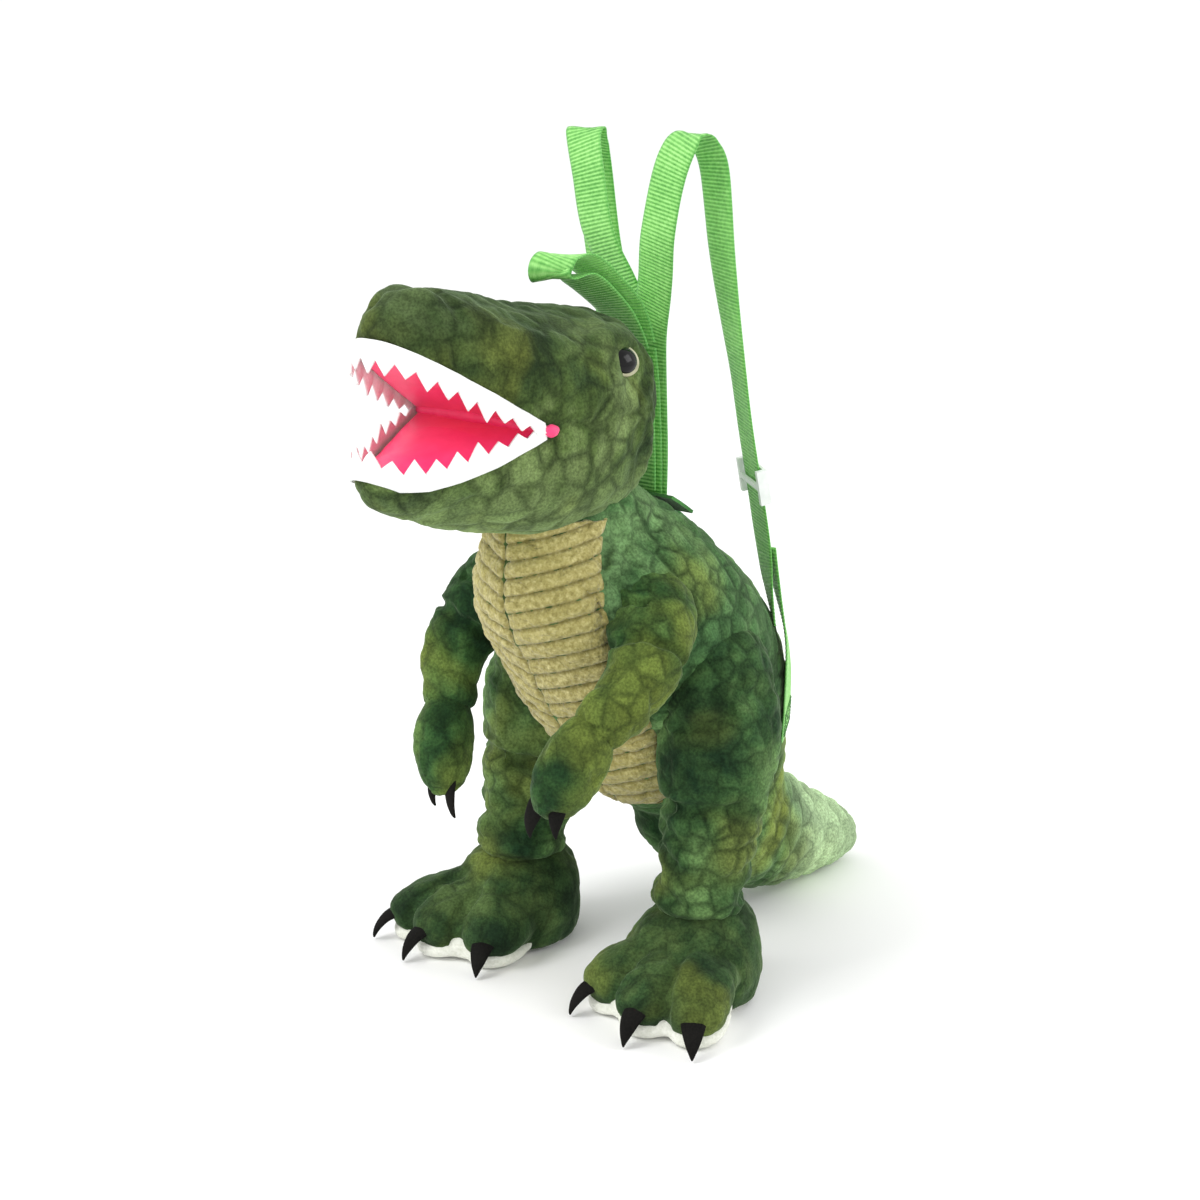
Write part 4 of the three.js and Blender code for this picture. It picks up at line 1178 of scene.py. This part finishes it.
def build_legs():
    shin = sew(loft("leg_plush", LEG, sides=44), 0.0034, 6, leg_seams, leg_folds)
    plush_pair(shin, "leg", "leg", 0.0009, "leg")

    parts = [loft("instep", INSTEP, sides=40, facing=(0, 0, -1))]
    parts += [toe_loft("toe", degrees, reach, radius, TOE_TOP) for _, degrees, reach, radius in TOES]
    foot = sew(join("foot_plush", parts), 0.003, 5, foot_seams, foot_folds)
    keep_above(foot, 1.5)
    plush_pair(foot, "foot", "foot", 0.0006, "leg", "foot_plush")

    pads = [loft("heel", [(75, 9, 0.6, 30, 34), (75, 8, 4, 34.5, 39.5), (75, 8, 9, 33.5, 38),
                          (75, 8, 13, 24, 28)], sides=40, facing=(0, 0, 1))]
    pads += [toe_loft("pad", degrees, reach, radius, TOE_SOLE) for _, degrees, reach, radius in TOES]
    for degrees, reach in zip(WEB_ANGLES, (78, 74)):
        pads.append(toe_loft("web", degrees, reach, 12, WEB, 24))
    sole = remesh(join("sole_plush", pads), 0.0028, 4)
    puff(sole, lambda q: near(q[:, 2] - 2, 3), cap=0.0015)
    keep_above(sole, 0.0)
    push(sole, lambda q: 1.2 * (soft_noise(q, 12) - 0.5) * (q[:, 2] > 3))

    def finish_sole(piece, name, side):
        dress(piece, "sole", "sole", "leg_" + name, "sole_" + name)

    both_sides(sole, finish_sole)

    for label, degrees, reach, radius in TOES:
        along, across = toe_axes(degrees)
        rows = []
        for ahead, z, wide, tall in ((-12, 20, 5.5, 3.2), (-3, 19, 7.6, 3.4), (5, 15.5, 6.6, 2.9),
                                     (10.5, 9.5, 4.2, 2.3), (13, 4.5, 1.8, 1.4), (13.6, 1.8, 0.5, 0.6)):
            p = Vector((ANKLE.x, ANKLE.y, 0)) + along * (reach + ahead)
            rows.append((p.x, p.y, z, wide, tall))
        claw_pair("toe_claw_" + label, rows, across, "leg")


build_legs()

# ------------------------------------------------------------------ straps and handle
def band_frame(rows):
    """Where a band runs: distance along it, its centre line, its width direction and its facing."""
    fine = spline(rows, 24)
    along = np.concatenate([[0], np.cumsum(np.linalg.norm(np.diff(fine[:, :3], axis=0), axis=1))])
    s = np.linspace(0, along[-1], int(along[-1] / 0.575))
    line = np.stack([np.interp(s, along, fine[:, k]) for k in range(4)], axis=1)
    tangent = np.gradient(line[:, :3], axis=0)
    tangent /= np.linalg.norm(tangent, axis=1, keepdims=True)
    twist = np.radians(line[:, 3])
    across = np.stack([np.cos(twist), -np.sin(twist), 0 * twist], axis=1)
    across -= tangent * np.sum(across * tangent, axis=1, keepdims=True)
    across /= np.linalg.norm(across, axis=1, keepdims=True)
    return s, line[:, :3], across, np.cross(tangent, across), tangent


def ribbon(name, rows):
    """Woven webbing along rows of x, y, z and twist; returns the piece and its length in metres."""
    width, thick = WEBBING["width"], WEBBING["thick"]
    s, line, across, face, _ = band_frame(rows)
    columns = np.linspace(-1, 1, 13)
    rib = 0.2 * np.cos(2 * np.pi * s / WEBBING["rib"])
    sag = 0.5 * np.sin(s / 31.0) + 0.3 * np.sin(s / 13.0 + 1)
    verts, rest = [], []
    for i in range(len(s)):
        for layer in (1, -1):
            for u in columns[::layer]:
                half = thick / 2 * (1 - 0.6 * abs(u) ** 8) + rib[i] * (1 - abs(u) ** 6)
                p = line[i] + across[i] * u * width / 2 + face[i] * (layer * half + 0.5 * sag[i] * u * u)
                verts.append(at(*p))
                rest.append((u * width / 2 * MM, s[i] * MM, layer * thick * MM))
    ring = 2 * len(columns)
    obj = add_mesh(name, verts, grid(len(s), ring, closed=True) + caps(len(s), ring))
    marks = obj.data.attributes.new("rest", "FLOAT_VECTOR", "POINT")
    marks.data.foreach_set("vector", np.array(rest).ravel())
    return obj, s[-1] * MM


def box_stitch(name, rows, start, finish, side, body_name):
    """Thread sewn as a box with a cross over a band, from start to finish along it, on both faces."""
    s, line, across, face, tangent = band_frame(rows)
    half = WEBBING["width"] / 2 - 3
    corners = [(-half, start), (half, start), (half, finish), (-half, finish)]
    runs = [(corners[k], corners[(k + 1) % 4]) for k in range(4)]
    runs += [(corners[0], corners[2]), (corners[1], corners[3])]
    verts, faces = [], []
    for (u0, s0), (u1, s1) in runs:
        length = math.hypot(u1 - u0, s1 - s0)
        count = max(int(length / 2.6), 1)
        for k in range(count):
            for outward in (1, -1):
                first = len(verts)
                for t, lift in ((0.12, 0.0), (0.3, 0.5), (0.7, 0.5), (0.88, 0.0)):
                    share = (k + t) / count
                    u, distance = u0 + (u1 - u0) * share, s0 + (s1 - s0) * share
                    i = min(int(np.searchsorted(s, distance)), len(s) - 1)
                    centre = line[i] + across[i] * u + face[i] * outward * (
                        WEBBING["thick"] / 2 + 0.05 + lift)
                    turn = (across[i] * -(s1 - s0) + tangent[i] * (u1 - u0)) / length * 0.32
                    verts += [at(*(centre - turn)), at(*(centre + turn))]
                faces += [(first + j, first + j + 1, first + j + 3, first + j + 2) for j in (0, 2, 4)]
    thread = add_mesh(name, verts, faces)
    thicken(thread, 0.0005)
    to_side(thread, side)
    dress(thread, "thread", "webbing", body_name)


STRAP_LAYER = {"left": 0, "right": 2.4}         # the right strap lies on the left one at the nape
UPPER_STRAP = [(1, 54.5, 297, 0), (1, 54.5, 340, 0), (3, 50.5, 393, 0), (15, 41, 428, 0),
               (24, 32.5, 457, 0), (31, 33, 489, 0), (37, 36, 507, 0), (41, 42, 514, 2), (44, 49, 510, 4),
               (47, 56, 494, 8), (47, 63, 447, 14), (46, 75, 398, 24), (46, 84, 362, 30),
               (46.5, 96, 312, 30), (47, 108, 262, 30), (52, 107.5, 235, 40), (59.5, 105, 212, 50)]
LAYERED = [1, 1, 1, 1, 1 / 3] + [0] * 12       # how far each row keeps to its own layer at the nape
LOWER_STRAP = [(51, 128.6, 136, 61), (58, 121, 160, 60), (66, 110.5, 185, 58), (65, 109.6, 205, 52),
               (56, 112, 232, 42), (49.2, 111.2, 260, 30)]
HANDLE_OUTER = [(0, 51, 297.6, 0), (0, 50.4, 330, 0), (0, 48, 365, 0), (0, 44.5, 388, 0)]
HANDLE_INNER = [(0, 45, 301, 0), (0, 44.2, 330, 0), (0, 42.5, 365, 0), (0, 39.2, 384, 0)]
# The loop's band leans to one side as it folds: y, z, twist.
HANDLE = [(43.8, 391.5, 0), (38, 405, -4), (26, 420, -14), (-6, 443, -32), (-24, 447, -36),
          (-33, 442, -38), (-31, 436, -38), (-10, 434, -34), (17, 416, -16), (31, 401, -4),
          (38.2, 388.5, 0)]


def strap(name, rows, side, node, body_name):
    obj, length = ribbon(name, rows)
    to_side(obj, side)
    dress(obj, "webbing", "webbing", body_name, *([node] if node else []))


def build_straps():
    for side_name, side in SIDES:
        layer = STRAP_LAYER[side_name]
        upper = [(x, y + layer * share, z, twist)
                 for (x, y, z, twist), share in zip(UPPER_STRAP, LAYERED)]
        strap("strap_upper_webbing_" + side_name, upper, side, "strap_upper_" + side_name, "torso")
        strap("strap_lower_webbing_" + side_name, LOWER_STRAP, side, "strap_lower_" + side_name, "torso")
        box_stitch("strap_stitch_" + side_name, LOWER_STRAP, 3, 22, side, "torso")
        box_stitch("strap_top_stitch_" + side_name, upper, 4, 22, side, "torso")
    box_stitch("handle_stitch", HANDLE_OUTER, 66, 84, 1, "torso")
    strap("handle_base_outer", HANDLE_OUTER, 1, "handle_base", "torso")
    strap("handle_base_inner", HANDLE_INNER, 1, None, "torso")
    strap("handle_webbing", [(0, *row) for row in HANDLE], 1, "handle_loop", "handle")


build_straps()


# ------------------------------------------------------------------ zip
def build_zip_teeth():
    """Nylon teeth that reach across the closed zip from each tape in turn."""
    verts, faces = [], []
    arc = ZIP["r"] * math.radians(ZIP["high"] - ZIP["low"])
    count = int(arc / 1.45)
    for k in range(count):
        a = math.radians(ZIP["low"] + 0.6 + (ZIP["high"] - ZIP["low"] - 1.2) * k / (count - 1))
        out = Vector((0, math.cos(a), math.sin(a)))
        along = Vector((0, -math.sin(a), math.cos(a)))
        side = 1 if k % 2 else -1
        centre = Vector((0, ZIP["y"], ZIP["z"])) + out * (ZIP["r"] + 0.6)
        first = len(verts)
        for dx, dh, half in ((-1.6, -0.8, 0.62), (2.6, -0.8, 0.62), (2.3, 0.9, 0.42), (-1.2, 1.1, 0.42)):
            for dl in (-half, half):
                verts.append(at(*(centre + Vector((side * dx, 0, 0)) + out * dh + along * dl)))
        for quad in ((0, 2, 3, 1), (2, 4, 5, 3), (4, 6, 7, 5), (6, 0, 1, 7), (0, 6, 4, 2), (1, 3, 5, 7)):
            quad = tuple(first + q for q in quad)
            faces.append(quad if side > 0 else quad[::-1])
    teeth = add_mesh("zip_teeth", verts, faces, smooth=False)
    dress(teeth, "zip_teeth", "zip", "torso")


build_zip_teeth()


# ------------------------------------------------------------------ finishes on the CAD parts
CAD_FINISH = {
    "zip_tape": "zip_tape", "zip_coil": "zip_teeth", "zip_slider": "enamel", "zip_pull": "enamel",
    "strap_anchor": "patch", "strap_adjuster": "plastic",
}


def finish_cad_parts():
    for name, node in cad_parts.items():
        for prefix, finish in CAD_FINISH.items():
            if name.startswith(prefix):
                for slot in node.material_slots:
                    slot.material = MATS[finish]


finish_cad_parts()

# ------------------------------------------------------------------ stage
def add_stage():
    floor = add_mesh("floor", [(-90, -90, 0), (90, -90, 0), (90, 90, 0), (-90, 90, 0)], [(0, 1, 2, 3)])
    material, _, shader = new_material("floor_white", 0.9)
    shader.inputs["Base Color"].default_value = (0.97, 0.97, 0.97, 1)
    floor.data.materials.append(material)
    world = bpy.data.worlds.new("studio")
    bpy.context.scene.world = world
    world.use_nodes = True
    t = Tree(world.node_tree)
    way = t.node("ShaderNodeTexCoord").outputs["Generated"]
    height = t.node("ShaderNodeSeparateXYZ", {0: way}).outputs[2]
    tones = [(share, (v, v, v)) for share, v in ((0.35, 0.4), (0.5, 1.0), (0.62, 1.0), (1.0, 0.85))]
    sky = t.ramp(t.math("MULTIPLY_ADD", height, 0.5, 0.5), tones)
    background = world.node_tree.nodes["Background"]
    world.node_tree.links.new(sky, background.inputs["Color"])
    background.inputs["Strength"].default_value = 1.15
    for name, place, size, power in (("key", (-0.6, -1.7, 2.2), 1.1, 30),
                                     ("rim", (1.8, 1.2, 1.6), 1.2, 14)):
        data = bpy.data.lights.new(name, "AREA")
        data.size = size
        data.energy = power
        aim(add_object(name, data), place, (0, 0, 0.22))


add_stage()
bpy.context.scene.view_settings.view_transform = "Standard"
